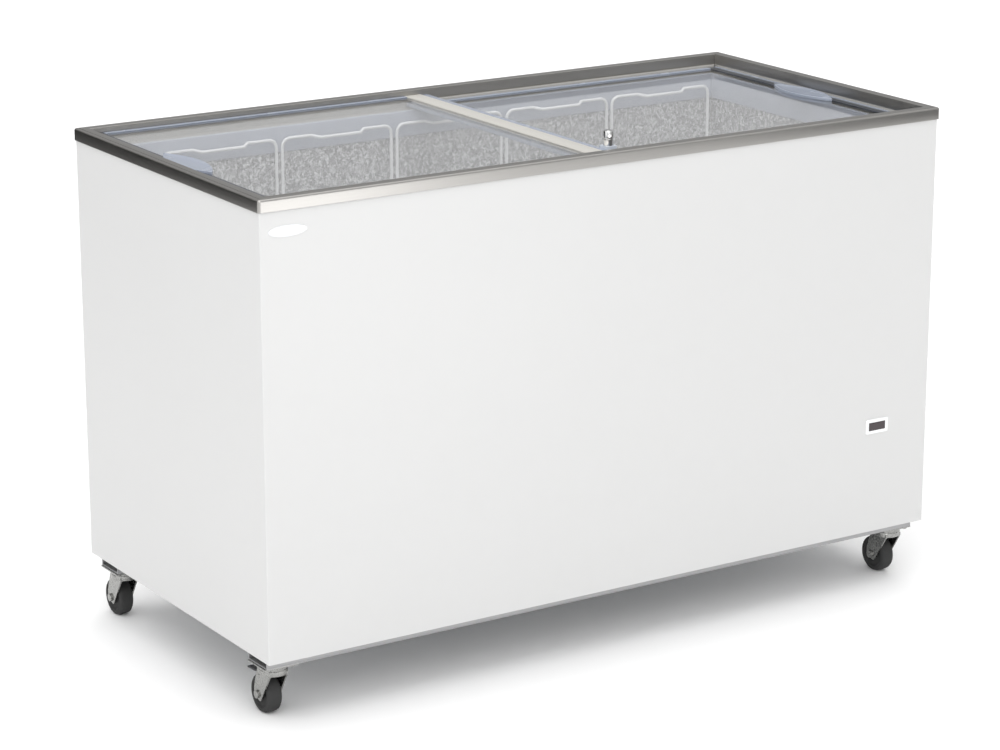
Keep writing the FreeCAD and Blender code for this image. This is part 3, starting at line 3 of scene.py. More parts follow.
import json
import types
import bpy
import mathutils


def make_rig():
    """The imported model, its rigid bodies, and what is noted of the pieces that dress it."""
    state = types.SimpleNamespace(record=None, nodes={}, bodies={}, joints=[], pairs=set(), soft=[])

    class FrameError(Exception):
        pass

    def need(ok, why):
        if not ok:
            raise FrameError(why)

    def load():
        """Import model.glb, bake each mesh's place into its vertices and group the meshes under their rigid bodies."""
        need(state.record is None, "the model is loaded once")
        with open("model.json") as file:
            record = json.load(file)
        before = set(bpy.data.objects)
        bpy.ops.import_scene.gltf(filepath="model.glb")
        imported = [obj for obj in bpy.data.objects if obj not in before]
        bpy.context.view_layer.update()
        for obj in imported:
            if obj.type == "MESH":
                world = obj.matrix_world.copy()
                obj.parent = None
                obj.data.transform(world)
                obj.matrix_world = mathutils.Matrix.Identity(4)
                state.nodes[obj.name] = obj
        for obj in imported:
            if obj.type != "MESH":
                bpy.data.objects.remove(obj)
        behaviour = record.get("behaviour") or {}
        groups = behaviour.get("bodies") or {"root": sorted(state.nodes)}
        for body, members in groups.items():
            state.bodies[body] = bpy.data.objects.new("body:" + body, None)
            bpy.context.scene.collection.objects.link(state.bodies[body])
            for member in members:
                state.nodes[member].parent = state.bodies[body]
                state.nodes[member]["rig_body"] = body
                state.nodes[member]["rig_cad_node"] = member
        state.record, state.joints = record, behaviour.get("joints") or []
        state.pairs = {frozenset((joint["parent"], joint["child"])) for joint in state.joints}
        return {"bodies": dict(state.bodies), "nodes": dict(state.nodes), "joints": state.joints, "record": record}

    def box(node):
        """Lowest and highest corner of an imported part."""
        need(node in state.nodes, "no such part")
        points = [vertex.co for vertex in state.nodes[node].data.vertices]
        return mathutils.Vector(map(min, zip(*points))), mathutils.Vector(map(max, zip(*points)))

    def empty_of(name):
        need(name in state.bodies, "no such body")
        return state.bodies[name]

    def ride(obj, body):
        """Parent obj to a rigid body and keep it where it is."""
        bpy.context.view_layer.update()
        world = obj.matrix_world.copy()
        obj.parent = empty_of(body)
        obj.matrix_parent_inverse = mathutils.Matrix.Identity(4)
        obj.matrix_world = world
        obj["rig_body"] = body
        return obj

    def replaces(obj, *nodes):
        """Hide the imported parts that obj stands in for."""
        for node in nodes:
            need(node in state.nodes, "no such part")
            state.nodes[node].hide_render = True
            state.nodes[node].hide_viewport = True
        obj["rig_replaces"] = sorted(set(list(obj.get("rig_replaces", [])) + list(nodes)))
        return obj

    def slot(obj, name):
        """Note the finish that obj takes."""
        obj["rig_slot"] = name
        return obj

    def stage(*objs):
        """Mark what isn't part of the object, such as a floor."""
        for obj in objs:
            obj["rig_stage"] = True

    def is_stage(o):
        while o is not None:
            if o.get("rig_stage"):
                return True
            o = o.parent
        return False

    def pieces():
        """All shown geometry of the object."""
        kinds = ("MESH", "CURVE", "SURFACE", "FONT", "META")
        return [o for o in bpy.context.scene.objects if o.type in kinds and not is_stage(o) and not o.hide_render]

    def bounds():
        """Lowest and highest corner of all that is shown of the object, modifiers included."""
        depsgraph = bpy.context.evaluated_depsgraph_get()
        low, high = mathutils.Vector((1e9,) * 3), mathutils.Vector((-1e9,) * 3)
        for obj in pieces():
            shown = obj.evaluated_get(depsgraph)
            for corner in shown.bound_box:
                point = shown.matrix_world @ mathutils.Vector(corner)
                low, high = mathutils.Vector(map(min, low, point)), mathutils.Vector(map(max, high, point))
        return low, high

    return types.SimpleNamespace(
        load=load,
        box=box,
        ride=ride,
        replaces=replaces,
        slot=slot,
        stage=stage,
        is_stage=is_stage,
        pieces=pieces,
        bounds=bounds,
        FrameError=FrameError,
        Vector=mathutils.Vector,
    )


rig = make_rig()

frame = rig.load()
cad_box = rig.bounds()

import json
import logging
import math
from dataclasses import dataclass, field
from enum import Enum
from typing import Callable, Optional, Sequence, Union

import bmesh
import bpy
import numpy as np

LOG = logging.getLogger("freezer")
MM = 0.001
Array = np.ndarray
Colour = tuple[float, float, float]
Value = Union[float, Sequence[float], "bpy.types.NodeSocket"]

# Points closer than this are one point, and edges shorter than this go, in metres.
SAME_POINT, NO_EDGE = 1e-6, 1e-7
# Corners of a CAD mesh closer than this are joined before its edges are softened, in metres.
JOINED_CORNER = 1e-5
# Faces within this angle are one flat face, and edges sharper than the other are softened, in degrees.
FLAT_ANGLE, SOFT_ANGLE = 1.5, 40.0
# How far a point on an arc keeps off the turn where its corner changes, in degrees.
OFF_TURN = 1e-3


# ---------------------------------------------------------------- surfaces

@dataclass
class Surface:
    """Points and faces of one closed or open sheet, in metres.

    Attributes:
        points: Every point, one row each.
        faces: Tuples of point numbers.
    """

    points: Array
    faces: list[tuple[int, ...]]


def span(node: str) -> tuple[Array, Array]:
    """Return the lowest and highest corners of a CAD node as arrays, in metres."""
    low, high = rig.box(node)
    return np.array(low), np.array(high)


def grid_surface(rows: Array, close_rows: bool = False, close_columns: bool = False,
                 caps: bool = False) -> Surface:
    """Join a grid of points with quads.

    Args:
        rows: Points of shape (rows, columns, 3).
        close_rows: Join the last row to the first.
        close_columns: Join the last column to the first.
        caps: Close the first and last rows with one face each.

    Returns:
        The surface.
    """
    count, across = rows.shape[:2]
    index = np.arange(count * across).reshape(count, across)
    below = index if close_rows else index[:-1]
    above = np.roll(index, -1, 0) if close_rows else index[1:]
    if close_columns:
        ahead, ahead_above = np.roll(below, -1, 1), np.roll(above, -1, 1)
    else:
        below, ahead = below[:, :-1], below[:, 1:]
        above, ahead_above = above[:, :-1], above[:, 1:]
    quads = np.stack([below, ahead, ahead_above, above], -1).reshape(-1, 4)
    faces = [tuple(quad) for quad in quads.tolist()]
    if caps:
        faces += [tuple(index[0][::-1].tolist()), tuple(index[-1].tolist())]
    return Surface(rows.reshape(-1, 3), faces)


def unit(vectors: Array) -> Array:
    """Return the vectors with a length of one."""
    return vectors / np.linalg.norm(vectors, axis=-1, keepdims=True)


def rounded_corners(corners: Sequence[Sequence[float]], radii: Sequence[float], steps: int = 5,
                    closed: bool = True) -> Array:
    """Round the corners of an outline or a route.

    Each corner becomes an arc that is tangent to both of its runs. Its centre lies on the
    bisector, at radius / sin(half the corner's angle) from the corner.

    Args:
        corners: Points in 2-D or 3-D, in order.
        radii: The radius at each corner. Zero keeps it sharp.
        steps: Spans of each arc.
        closed: Whether the last run goes back to the first corner.

    Returns:
        The points of the rounded line, one row each.
    """
    places = np.array(corners, float)
    count = len(places)
    line = []
    for here in range(count):
        if radii[here] <= 0 or (not closed and here in (0, count - 1)):
            line.append(places[here][None])
            continue
        back = unit(places[here - 1] - places[here])
        ahead = unit(places[(here + 1) % count] - places[here])
        half = math.acos(float(np.clip(back @ ahead, -1, 1))) / 2
        reach = radii[here] / math.tan(half)
        centre = places[here] + unit(back + ahead) * radii[here] / math.sin(half)
        first = unit(places[here] + back * reach - centre)
        last = unit(places[here] + ahead * reach - centre)
        turn = math.pi - 2 * half
        share = np.linspace(0, 1, steps + 1)[:, None]
        swing = (np.sin((1 - share) * turn) * first + np.sin(share * turn) * last) / math.sin(turn)
        line.append(centre + radii[here] * swing)
    return np.concatenate(line)


def carry(path: Array, profile: Array, normal: Sequence[float], closed_path: bool = False,
          caps: bool = True) -> Surface:
    """Carry a closed profile along a path.

    At each point the profile's first axis is normal x tangent and its second is
    tangent x first axis, so the profile keeps its turn about the path.

    Args:
        path: Points of shape (n, 3).
        profile: Outline of shape (m, 2).
        normal: A direction that the path never follows.
        closed_path: Whether the path is a loop.
        caps: Whether open ends are closed.

    Returns:
        The carried surface.
    """
    if closed_path:
        tangent = unit(np.roll(path, -1, 0) - np.roll(path, 1, 0))
    else:
        tangent = unit(np.gradient(path, axis=0))
    side = unit(np.cross(np.array(normal, float), tangent))
    rise = np.cross(tangent, side)
    rows = (path[:, None] + profile[None, :, :1] * side[:, None] + profile[None, :, 1:] * rise[:, None])
    return grid_surface(rows, close_rows=closed_path, close_columns=True, caps=caps and not closed_path)


def disc(radius: float, sides: int = 10) -> Array:
    """Return a circle's outline: (radius cos t, radius sin t)."""
    turn = np.linspace(0, 2 * math.pi, sides, endpoint=False)
    return np.stack([radius * np.cos(turn), radius * np.sin(turn)], -1)


def wire(path: Array, radius: float, normal: Sequence[float], closed: bool = False,
         sides: int = 10) -> Surface:
    """Return a round wire along a path."""
    return carry(path, disc(radius, sides), normal, closed)


def turned(profile: Array, centre: Sequence[float], axis: int, sides: int = 48) -> Surface:
    """Turn a profile of (radius, height) about an axis.

    A point goes to centre + height along the axis + radius (cos t, sin t) in the other two.

    Args:
        profile: Points of (radius, height), in metres.
        centre: Where height zero lies on the axis.
        axis: 0, 1 or 2 for X, Y or Z.
        sides: Steps of the full turn.

    Returns:
        The turned surface, open at both ends of the profile unless they lie on the axis.
    """
    turn = np.linspace(0, 2 * math.pi, sides, endpoint=False)
    rows = np.zeros((len(profile), sides, 3))
    others = [item for item in range(3) if item != axis]
    rows[..., axis] = profile[:, None, 1]
    rows[..., others[0]] = profile[:, None, 0] * np.cos(turn)
    rows[..., others[1]] = profile[:, None, 0] * np.sin(turn)
    return grid_surface(rows + np.array(centre, float), close_columns=True)


def loft(outline: Callable[[float], Array], levels: Sequence[tuple[float, float]], centre: Sequence[float],
         axes: tuple[int, int, int] = (0, 1, 2)) -> Surface:
    """Stack outlines of the same plan, each drawn in by an inset at a height.

    Args:
        outline: Gives the (n, 2) plan for an inset.
        levels: Pairs of (inset, height), from the foot to the crown.
        centre: Where the plan's centre and height zero lie.
        axes: Which row axes the plan's two axes and the height follow.

    Returns:
        The closed surface.
    """
    plans = np.stack([outline(inset) for inset, _ in levels])
    rows = np.zeros((len(levels), plans.shape[1], 3))
    rows[..., axes[0]] = plans[..., 0]
    rows[..., axes[1]] = plans[..., 1]
    rows[..., axes[2]] = np.array([height for _, height in levels])[:, None]
    return grid_surface(rows + np.array(centre, float), close_columns=True, caps=True)


def bar(section: Array, axis: int, start: float, stop: float) -> Surface:
    """Run a closed outline straight along an axis.

    Args:
        section: The outline in the other two axes, in their order, of shape (n, 2).
        axis: 0, 1 or 2 for X, Y or Z.
        start: Where the bar starts on the axis.
        stop: Where it stops.

    Returns:
        The closed bar.
    """
    rows = np.zeros((2, len(section), 3))
    rows[..., axis] = np.array([[start], [stop]])
    rows[..., [item for item in range(3) if item != axis]] = section
    return grid_surface(rows, close_columns=True, caps=True)


def rounded_rectangle(wide: float, tall: float, radius: float, steps: int = 5) -> Callable[[float], Array]:
    """Return a function that gives a rounded rectangle's outline for an inset."""
    def outline(inset: float) -> Array:
        """Return the outline drawn in by the inset."""
        x, y = wide / 2 - inset, tall / 2 - inset
        bend = max(radius - inset, 0.05 * MM)
        return rounded_corners([(-x, -y), (x, -y), (x, y), (-x, y)], [bend] * 4, steps)
    return outline


def ellipse(wide: float, tall: float, sides: int = 64) -> Callable[[float], Array]:
    """Return a function that gives an ellipse's outline for an inset."""
    def outline(inset: float) -> Array:
        """Return the outline drawn in by the inset."""
        turn = np.linspace(0, 2 * math.pi, sides, endpoint=False)
        return np.stack([(wide / 2 - inset) * np.cos(turn), (tall / 2 - inset) * np.sin(turn)], -1)
    return outline


def lens_plan(long: float, wide: float, sides: int = 28) -> Callable[[float], Array]:
    """Return a function that gives a lens, the overlap of two equal discs, for an inset.

    Half the width at y is sqrt(R^2 - y^2) - (R - w), with R = (l^2 + w^2) / 2w for half
    length l and half width w.
    """
    def outline(inset: float) -> Array:
        """Return the outline drawn in by the inset."""
        half_wide = wide / 2 - inset
        half_long = long / 2 - inset * 2
        radius = (half_long ** 2 + half_wide ** 2) / (2 * half_wide)
        y = half_long * np.sin(np.linspace(-math.pi / 2, math.pi / 2, sides + 1))
        x = np.sqrt(radius ** 2 - y ** 2) - (radius - half_wide)
        right = np.stack([x, y], -1)
        left = np.stack([-x, y], -1)[::-1]
        return np.concatenate([right, left[1:-1]])
    return outline


class Side(Enum):
    """The sides of the cabinet's plan, with the turn of the middle of each from +X."""

    FRONT = 270
    RIGHT = 0
    REAR = 90
    LEFT = 180


def edge_plan(half_wide: float, half_deep: float, corner: float, insets: Array, turns: Array) -> Array:
    """Follow a rounded rectangle at several insets at once.

    Each turn t picks the corner that it points to. There the line runs on an arc of radius
    r = max(corner - inset, 0) about the centre (half size - inset - r), at the angle t.

    Args:
        half_wide: Half the rectangle's size along X.
        half_deep: Half its size along Y.
        corner: The radius of its corners.
        insets: How far in each line runs.
        turns: The angles of the points, in degrees.

    Returns:
        Points of shape (turns, insets, 2).
    """
    angle = np.radians(turns)[:, None]
    signs = np.stack([np.sign(np.cos(np.radians(turns))), np.sign(np.sin(np.radians(turns)))], -1)
    radius = np.maximum(corner - insets, 0.0)[None]
    x = signs[:, :1] * (half_wide - insets - radius) + radius * np.cos(angle)
    y = signs[:, 1:] * (half_deep - insets - radius) + radius * np.sin(angle)
    return np.stack([x, y], -1)


def edge_rail(side: Side, half_wide: float, half_deep: float, corner: float, section: Array, top: float,
              gap: float, steps: int = 5) -> Surface:
    """Run a section along one side of the cabinet, mitred at the middle of both corners.

    Args:
        side: Which side.
        half_wide: Half the frame's outer size along X.
        half_deep: Half its outer size along Y.
        corner: The radius of its outer corners.
        section: The rail's outline as (inset, height below the top).
        top: The height of the frame's top.
        gap: The open joint left at each mitre.
        steps: Spans of each half corner.

    Returns:
        The closed rail.
    """
    middle = side.value
    turns = np.concatenate([np.linspace(middle - 45, middle - OFF_TURN, steps + 1),
                            np.linspace(middle + OFF_TURN, middle + 45, steps + 1)])
    plan = edge_plan(half_wide, half_deep, corner, section[:, 0], turns)
    along = 1 if side in (Side.LEFT, Side.RIGHT) else 0
    plan[..., along] -= np.sign(plan[..., along]) * gap / 2
    heights = np.broadcast_to(top + section[None, :, 1:], plan.shape[:2] + (1,))
    return grid_surface(np.concatenate([plan, heights], -1), close_columns=True, caps=True)


def folded_sheet(line: Array, thick: float, start: float, stop: float) -> Surface:
    """Fold a strip of sheet: a line in X and Z, thickened outwards and run along Y.

    Args:
        line: The inner face's line, (n, 2).
        thick: The sheet's thickness.
        start: Y of one edge.
        stop: Y of the other edge.

    Returns:
        The closed sheet.
    """
    tangent = unit(np.gradient(line, axis=0))
    outward = np.stack([tangent[:, 1], -tangent[:, 0]], -1)
    loop = np.stack([line, line + outward * thick])
    inner_near = np.stack([loop[0, :, 0], np.full(len(line), start), loop[0, :, 1]], -1)
    inner_far = np.stack([loop[0, :, 0], np.full(len(line), stop), loop[0, :, 1]], -1)
    outer_far = np.stack([loop[1, :, 0], np.full(len(line), stop), loop[1, :, 1]], -1)
    outer_near = np.stack([loop[1, :, 0], np.full(len(line), start), loop[1, :, 1]], -1)
    rows = np.stack([inner_near, inner_far, outer_far, outer_near], 1)
    return grid_surface(rows, close_columns=True, caps=True)


# ---------------------------------------------------------------- node wiring

class Wiring:
    """A node tree being wired."""

    def __init__(self, tree: bpy.types.NodeTree) -> None:
        """Start with an empty tree.

        Args:
            tree: The tree of a material, a world or a group.
        """
        self.tree = tree
        tree.nodes.clear()

    def add(self, kind: str, feeds: Optional[dict[Union[str, int], Value]] = None,
            **settings: object) -> bpy.types.Node:
        """Add a node.

        Args:
            kind: The node's type name.
            feeds: What goes into each input: a number, a vector or another node's output.
            settings: The node's own properties.

        Returns:
            The node.
        """
        node = self.tree.nodes.new(kind)
        for name, value in settings.items():
            setattr(node, name, value)
        for name, value in (feeds or {}).items():
            self.feed(node.inputs[name], value)
        return node

    def feed(self, socket: bpy.types.NodeSocket, value: Value) -> None:
        """Link or set one input."""
        if isinstance(value, bpy.types.NodeSocket):
            self.tree.links.new(value, socket)
        else:
            socket.default_value = value

    def maths(self, operation: str, *values: Value) -> bpy.types.NodeSocket:
        """Return the result of a Math node."""
        node = self.add("ShaderNodeMath", operation=operation)
        for socket, value in zip(node.inputs, values):
            self.feed(socket, value)
        return node.outputs[0]

    def remap(self, value: Value, low: float, high: float, to_low: float,
              to_high: float) -> bpy.types.NodeSocket:
        """Return a value moved from one range to another, held at its ends."""
        feeds = {"Value": value, "From Min": low, "From Max": high, "To Min": to_low, "To Max": to_high}
        return self.add("ShaderNodeMapRange", feeds).outputs["Result"]

    def noise(self, vector: Value, scale: Value, detail: float = 3.0) -> bpy.types.NodeSocket:
        """Return a noise value."""
        node = self.add("ShaderNodeTexNoise", {"Vector": vector, "Scale": scale, "Detail": detail})
        return node.outputs["Fac"]

    def stretch(self, vector: Value, scale: Sequence[float]) -> bpy.types.NodeSocket:
        """Return coordinates stretched along the axes."""
        return self.add("ShaderNodeMapping", {"Vector": vector, "Scale": scale}).outputs["Vector"]

    def mix(self, share: Value, first: Value, second: Value, blend: str = "MIX") -> bpy.types.NodeSocket:
        """Return two colours mixed."""
        node = self.add("ShaderNodeMix", data_type="RGBA", blend_type=blend)
        self.feed(node.inputs[0], share)
        self.feed(node.inputs[6], first)
        self.feed(node.inputs[7], second)
        return node.outputs[2]


def new_material(name: str) -> tuple[bpy.types.Material, Wiring]:
    """Return a new material and the wiring of its empty tree."""
    made = bpy.data.materials.new(name)
    made.use_nodes = True
    return made, Wiring(made.node_tree)


def place_object(name: str, data: bpy.types.ID) -> bpy.types.Object:
    """Return a new object that holds the data, linked to the scene."""
    made = bpy.data.objects.new(name, data)
    bpy.context.scene.collection.objects.link(made)
    return made


Socket = tuple[str, str, Optional[float]]
FLOAT, VECTOR = "NodeSocketFloat", "NodeSocketVector"


def shader_group(name: str, inputs: Sequence[Socket], outputs: Sequence[Socket],
                 wire_up: Callable[[Wiring, bpy.types.Node, bpy.types.Node], None]) -> bpy.types.NodeTree:
    """Build a shared node group once.

    Args:
        name: The group's name.
        inputs: Name, socket type and default of each input.
        outputs: Name, socket type and default of each output.
        wire_up: Wires the inside, given the wiring and the group's input and output nodes.

    Returns:
        The group.
    """
    tree = bpy.data.node_groups.get(name)
    if tree is not None:
        return tree
    tree = bpy.data.node_groups.new(name, "ShaderNodeTree")
    wiring = Wiring(tree)
    for in_out, sockets in (("INPUT", inputs), ("OUTPUT", outputs)):
        for label, kind, default in sockets:
            socket = tree.interface.new_socket(name=label, in_out=in_out, socket_type=kind)
            if default is not None:
                socket.default_value = default
    wire_up(wiring, wiring.add("NodeGroupInput"), wiring.add("NodeGroupOutput"))
    return tree


class Grain(Enum):
    """How a finish's surface is broken up at close range."""

    PEEL = "peel of sprayed paint"
    BRUSHED = "brushed streaks"
    STUCCO = "embossed stucco"
    SPANGLE = "zinc spangle"
    MOULDED = "moulded plastic"
    SKIN = "smooth skin"
    FOAM = "cut foam"


def wire_grain(grain: Grain) -> Callable[[Wiring, bpy.types.Node, bpy.types.Node], None]:
    """Return the function that wires a grain's group.

    Every grain puts out Shade, a mask about one half, and Height for a bump.
    """
    def wire_up(wiring: Wiring, source: bpy.types.Node, sink: bpy.types.Node) -> None:
        """Wire the group for this grain."""
        place, scale = source.outputs["Vector"], source.outputs["Scale"]
        broad = wiring.noise(place, wiring.maths("MULTIPLY", scale, 0.06), 2.0)
        fine = wiring.noise(place, scale, 4.0)
        if grain is Grain.STUCCO:
            warp = wiring.add("ShaderNodeTexNoise", {"Vector": place, "Scale": scale, "Detail": 1.0})
            moved = wiring.add("ShaderNodeVectorMath", {0: warp.outputs["Color"], 1: (0.012, 0.012, 0.012)},
                               operation="MULTIPLY").outputs[0]
            bent = wiring.add("ShaderNodeVectorMath", {0: place, 1: moved}, operation="ADD").outputs[0]
            cells = wiring.add("ShaderNodeTexVoronoi", {"Vector": bent, "Scale": scale},
                               feature="SMOOTH_F1").outputs["Distance"]
            # The ridge is near one on the cell tops and near zero in the creases between cells. As Height it is the
            # real emboss. As Shade it paints glints on the tops and shade in the creases.
            ridge_and_glint = wiring.remap(cells, 0.22, 0.5, 1.0, 0.0)
            height = wiring.maths("ADD", ridge_and_glint, wiring.maths("MULTIPLY", fine, 0.25))
            shade = ridge_and_glint
        elif grain is Grain.SPANGLE:
            cells = wiring.add("ShaderNodeTexVoronoi", {"Vector": place, "Scale": scale})
            tone = wiring.add("ShaderNodeSeparateColor", {0: cells.outputs["Color"]}).outputs[0]
            shade, height = tone, wiring.maths("MULTIPLY", fine, 0.3)
        elif grain is Grain.BRUSHED:
            streak = wiring.noise(place, wiring.maths("MULTIPLY", scale, 2.3), 2.0)
            shade = wiring.maths("MULTIPLY_ADD", streak, 0.5, wiring.maths("MULTIPLY", fine, 0.5))
            height = shade
        elif grain is Grain.FOAM:
            cells = wiring.add("ShaderNodeTexVoronoi", {"Vector": place, "Scale": scale}).outputs["Distance"]
            shade, height = cells, cells
        else:
            shade = broad
            height = wiring.maths("ADD", fine, wiring.maths("MULTIPLY", broad, 0.6))
        wiring.feed(sink.inputs["Shade"], shade)
        wiring.feed(sink.inputs["Height"], height)
    return wire_up


def grain_group(grain: Grain) -> bpy.types.NodeTree:
    """Return the shared group of a grain."""
    inputs = [("Vector", VECTOR, None), ("Scale", FLOAT, 100.0)]
    outputs = [("Shade", FLOAT, None), ("Height", FLOAT, None)]
    return shader_group("grain_" + grain.name.lower(), inputs, outputs, wire_grain(grain))


def wire_drift(wiring: Wiring, source: bpy.types.Node, sink: bpy.types.Node) -> None:
    """Wire a slow drift of tone over the piece: one plus Amount times a broad noise about zero."""
    drift = wiring.noise(source.outputs["Vector"], source.outputs["Scale"], 2.0)
    centred = wiring.maths("SUBTRACT", drift, 0.5)
    wiring.feed(sink.inputs["Factor"], wiring.maths("MULTIPLY_ADD", centred, source.outputs["Amount"], 1.0))


def wire_dust(wiring: Wiring, source: bpy.types.Node, sink: bpy.types.Node) -> None:
    """Wire settled dust: a mask that grows on faces that look up and breaks up with noise."""
    normal = wiring.add("ShaderNodeNewGeometry").outputs["Normal"]
    upward = wiring.add("ShaderNodeSeparateXYZ", {0: normal}).outputs["Z"]
    lying = wiring.remap(upward, 0.2, 1.0, 0.15, 1.0)
    patches = wiring.remap(wiring.noise(source.outputs["Vector"], 38.0, 5.0), 0.42, 0.7, 0.1, 1.0)
    mask = wiring.maths("MULTIPLY", wiring.maths("MULTIPLY", lying, patches), source.outputs["Amount"])
    wiring.feed(sink.inputs["Mask"], mask)


def wire_scuffs(wiring: Wiring, source: bpy.types.Node, sink: bpy.types.Node) -> None:
    """Wire fine scuffs: thin lines where a stretched noise crosses its middle."""
    streaks = wiring.noise(wiring.stretch(source.outputs["Vector"], (1.0, 9.0, 4.0)), 60.0, 3.0)
    off_middle = wiring.maths("ABSOLUTE", wiring.maths("SUBTRACT", streaks, 0.5))
    line = wiring.remap(off_middle, 0.0, 0.012, 1.0, 0.0)
    patches = wiring.remap(wiring.noise(source.outputs["Vector"], 9.0, 2.0), 0.5, 0.62, 0.0, 1.0)
    wiring.feed(sink.inputs["Mask"], wiring.maths("MULTIPLY", wiring.maths("MULTIPLY", line, patches),
                                                  source.outputs["Amount"]))


# ---------------------------------------------------------------- finishes

@dataclass(frozen=True)
class Finish:
    """One procedural finish.

    Attributes:
        name: The material's name.
        slot: The record's material slot.
        colour: The base colour, linear.
        metal: The metallic share.
        roughness: The mean roughness.
        grain: The kind of grain.
        grain_scale: Grain cells per metre.
        stretch: How the grain's coordinates are scaled along X, Y and Z.
        shade: How much the grain lightens and darkens the colour.
        bump: The bump's strength.
        relief: The bump's real height, in metres.
        drift: How much the tone drifts over the piece.
        dust: How much dust lies on it.
        scuffs: How much it is scuffed.
        coat: The clear coat's weight.
        glow: The subsurface weight of a translucent plastic.
    """

    name: str
    slot: str
    colour: Colour
    metal: float = 0.0
    roughness: float = 0.4
    grain: Grain = Grain.SKIN
    grain_scale: float = 400.0
    stretch: Colour = (1.0, 1.0, 1.0)
    shade: float = 0.06
    bump: float = 0.1
    relief: float = 0.1 * MM
    drift: float = 0.05
    dust: float = 0.03
    scuffs: float = 0.05
    coat: float = 0.0
    glow: float = 0.0

    def material(self) -> bpy.types.Material:
        """Return the finish's material, built at its first use."""
        made = bpy.data.materials.get(self.name)
        if made is not None:
            return made
        made, wiring = new_material(self.name)
        place = wiring.add("ShaderNodeTexCoord").outputs["Object"]
        grain = wiring.add("ShaderNodeGroup", node_tree=grain_group(self.grain))
        wiring.feed(grain.inputs["Vector"], wiring.stretch(place, self.stretch))
        grain.inputs["Scale"].default_value = self.grain_scale
        drift = self._effect(wiring, "tone_drift", wire_drift, "Factor", place, self.drift, 3.1)
        dust = self._effect(wiring, "settled_dust", wire_dust, "Mask", place, self.dust)
        scuffs = self._effect(wiring, "fine_scuffs", wire_scuffs, "Mask", place, self.scuffs)
        tone = wiring.remap(grain.outputs["Shade"], 0.0, 1.0, 1.0 - self.shade, 1.0 + self.shade)
        tone = wiring.maths("MULTIPLY", tone, drift)
        base = (*self.colour, 1.0)
        colour = wiring.mix(1.0, base, self._grey(wiring, tone), "MULTIPLY")
        colour = wiring.mix(dust, colour, (0.62, 0.6, 0.56, 1.0))
        rough = wiring.maths("MULTIPLY_ADD", grain.outputs["Shade"], 0.08, self.roughness - 0.04)
        rough = wiring.maths("ADD", rough, wiring.maths("MULTIPLY", scuffs, 0.25))
        rough = wiring.maths("ADD", rough, wiring.maths("MULTIPLY", dust, 0.3))
        bump = wiring.add("ShaderNodeBump", {"Height": grain.outputs["Height"], "Strength": self.bump,
                                             "Distance": self.relief})
        shader = wiring.add("ShaderNodeBsdfPrincipled", {
            "Base Color": colour, "Metallic": self.metal, "Roughness": rough,
            "Normal": bump.outputs["Normal"],
            "Coat Weight": self.coat, "Coat Roughness": 0.08, "Subsurface Weight": self.glow,
            "Subsurface Radius": (0.004, 0.004, 0.005),
        })
        wiring.add("ShaderNodeOutputMaterial", {"Surface": shader.outputs[0]})
        return made

    @staticmethod
    def _effect(wiring: Wiring, name: str, wire_up: Callable, output: str, place: Value, amount: float,
                scale: Optional[float] = None) -> bpy.types.NodeSocket:
        """Place one shared effect group.

        Args:
            wiring: The material's wiring.
            name: The group's name.
            wire_up: Wires the group's inside at its first use.
            output: The name of its output.
            place: The coordinates that go in.
            amount: How strong the effect is.
            scale: The effect's scale, where it has one.

        Returns:
            The group's output.
        """
        inputs = [("Vector", VECTOR, None), ("Amount", FLOAT, 0.0)]
        inputs += [("Scale", FLOAT, 1.0)] if scale is not None else []
        node = wiring.add("ShaderNodeGroup", node_tree=shader_group(name, inputs, [(output, FLOAT, None)],
                                                                    wire_up))
        wiring.feed(node.inputs["Vector"], place)
        node.inputs["Amount"].default_value = amount
        if scale is not None:
            node.inputs["Scale"].default_value = scale
        return node.outputs[output]

    @staticmethod
    def _grey(wiring: Wiring, value: bpy.types.NodeSocket) -> bpy.types.NodeSocket:
        """Return a value as a grey colour."""
        return wiring.add("ShaderNodeCombineColor", {0: value, 1: value, 2: value}).outputs[0]


@dataclass(frozen=True)
class Glazing:
    """Clear tempered glass that lets lamp light through.

    Attributes:
        name: The material's name.
        slot: The record's material slot.
        colour: The tint of the light that passes.
        roughness: The roughness of its faces.
    """

    name: str
    slot: str
    colour: Colour
    roughness: float = 0.01

    def material(self) -> bpy.types.Material:
        """Return the glass, with faint smears in its roughness and clear shadows."""
        made = bpy.data.materials.get(self.name)
        if made is not None:
            return made
        made, wiring = new_material(self.name)
        place = wiring.add("ShaderNodeTexCoord").outputs["Object"]
        smears = wiring.noise(wiring.stretch(place, (1.0, 2.5, 1.0)), 7.0, 4.0)
        rough = wiring.remap(smears, 0.45, 0.8, self.roughness, self.roughness + 0.03)
        glass = wiring.add("ShaderNodeBsdfPrincipled", {
            "Base Color": (*self.colour, 1.0), "Roughness": rough, "IOR": 1.5, "Transmission Weight": 1.0,
        })
        clear = wiring.add("ShaderNodeBsdfTransparent", {"Color": (*self.colour, 1.0)})
        path = wiring.add("ShaderNodeLightPath")
        passing = wiring.maths("MAXIMUM", path.outputs["Is Shadow Ray"], path.outputs["Is Diffuse Ray"])
        both = wiring.add("ShaderNodeMixShader", {0: passing, 1: glass.outputs[0], 2: clear.outputs[0]})
        wiring.add("ShaderNodeOutputMaterial", {"Surface": both.outputs[0]})
        return made


ALONG_X, ALONG_Y = (0.02, 1.0, 1.0), (1.0, 0.02, 1.0)

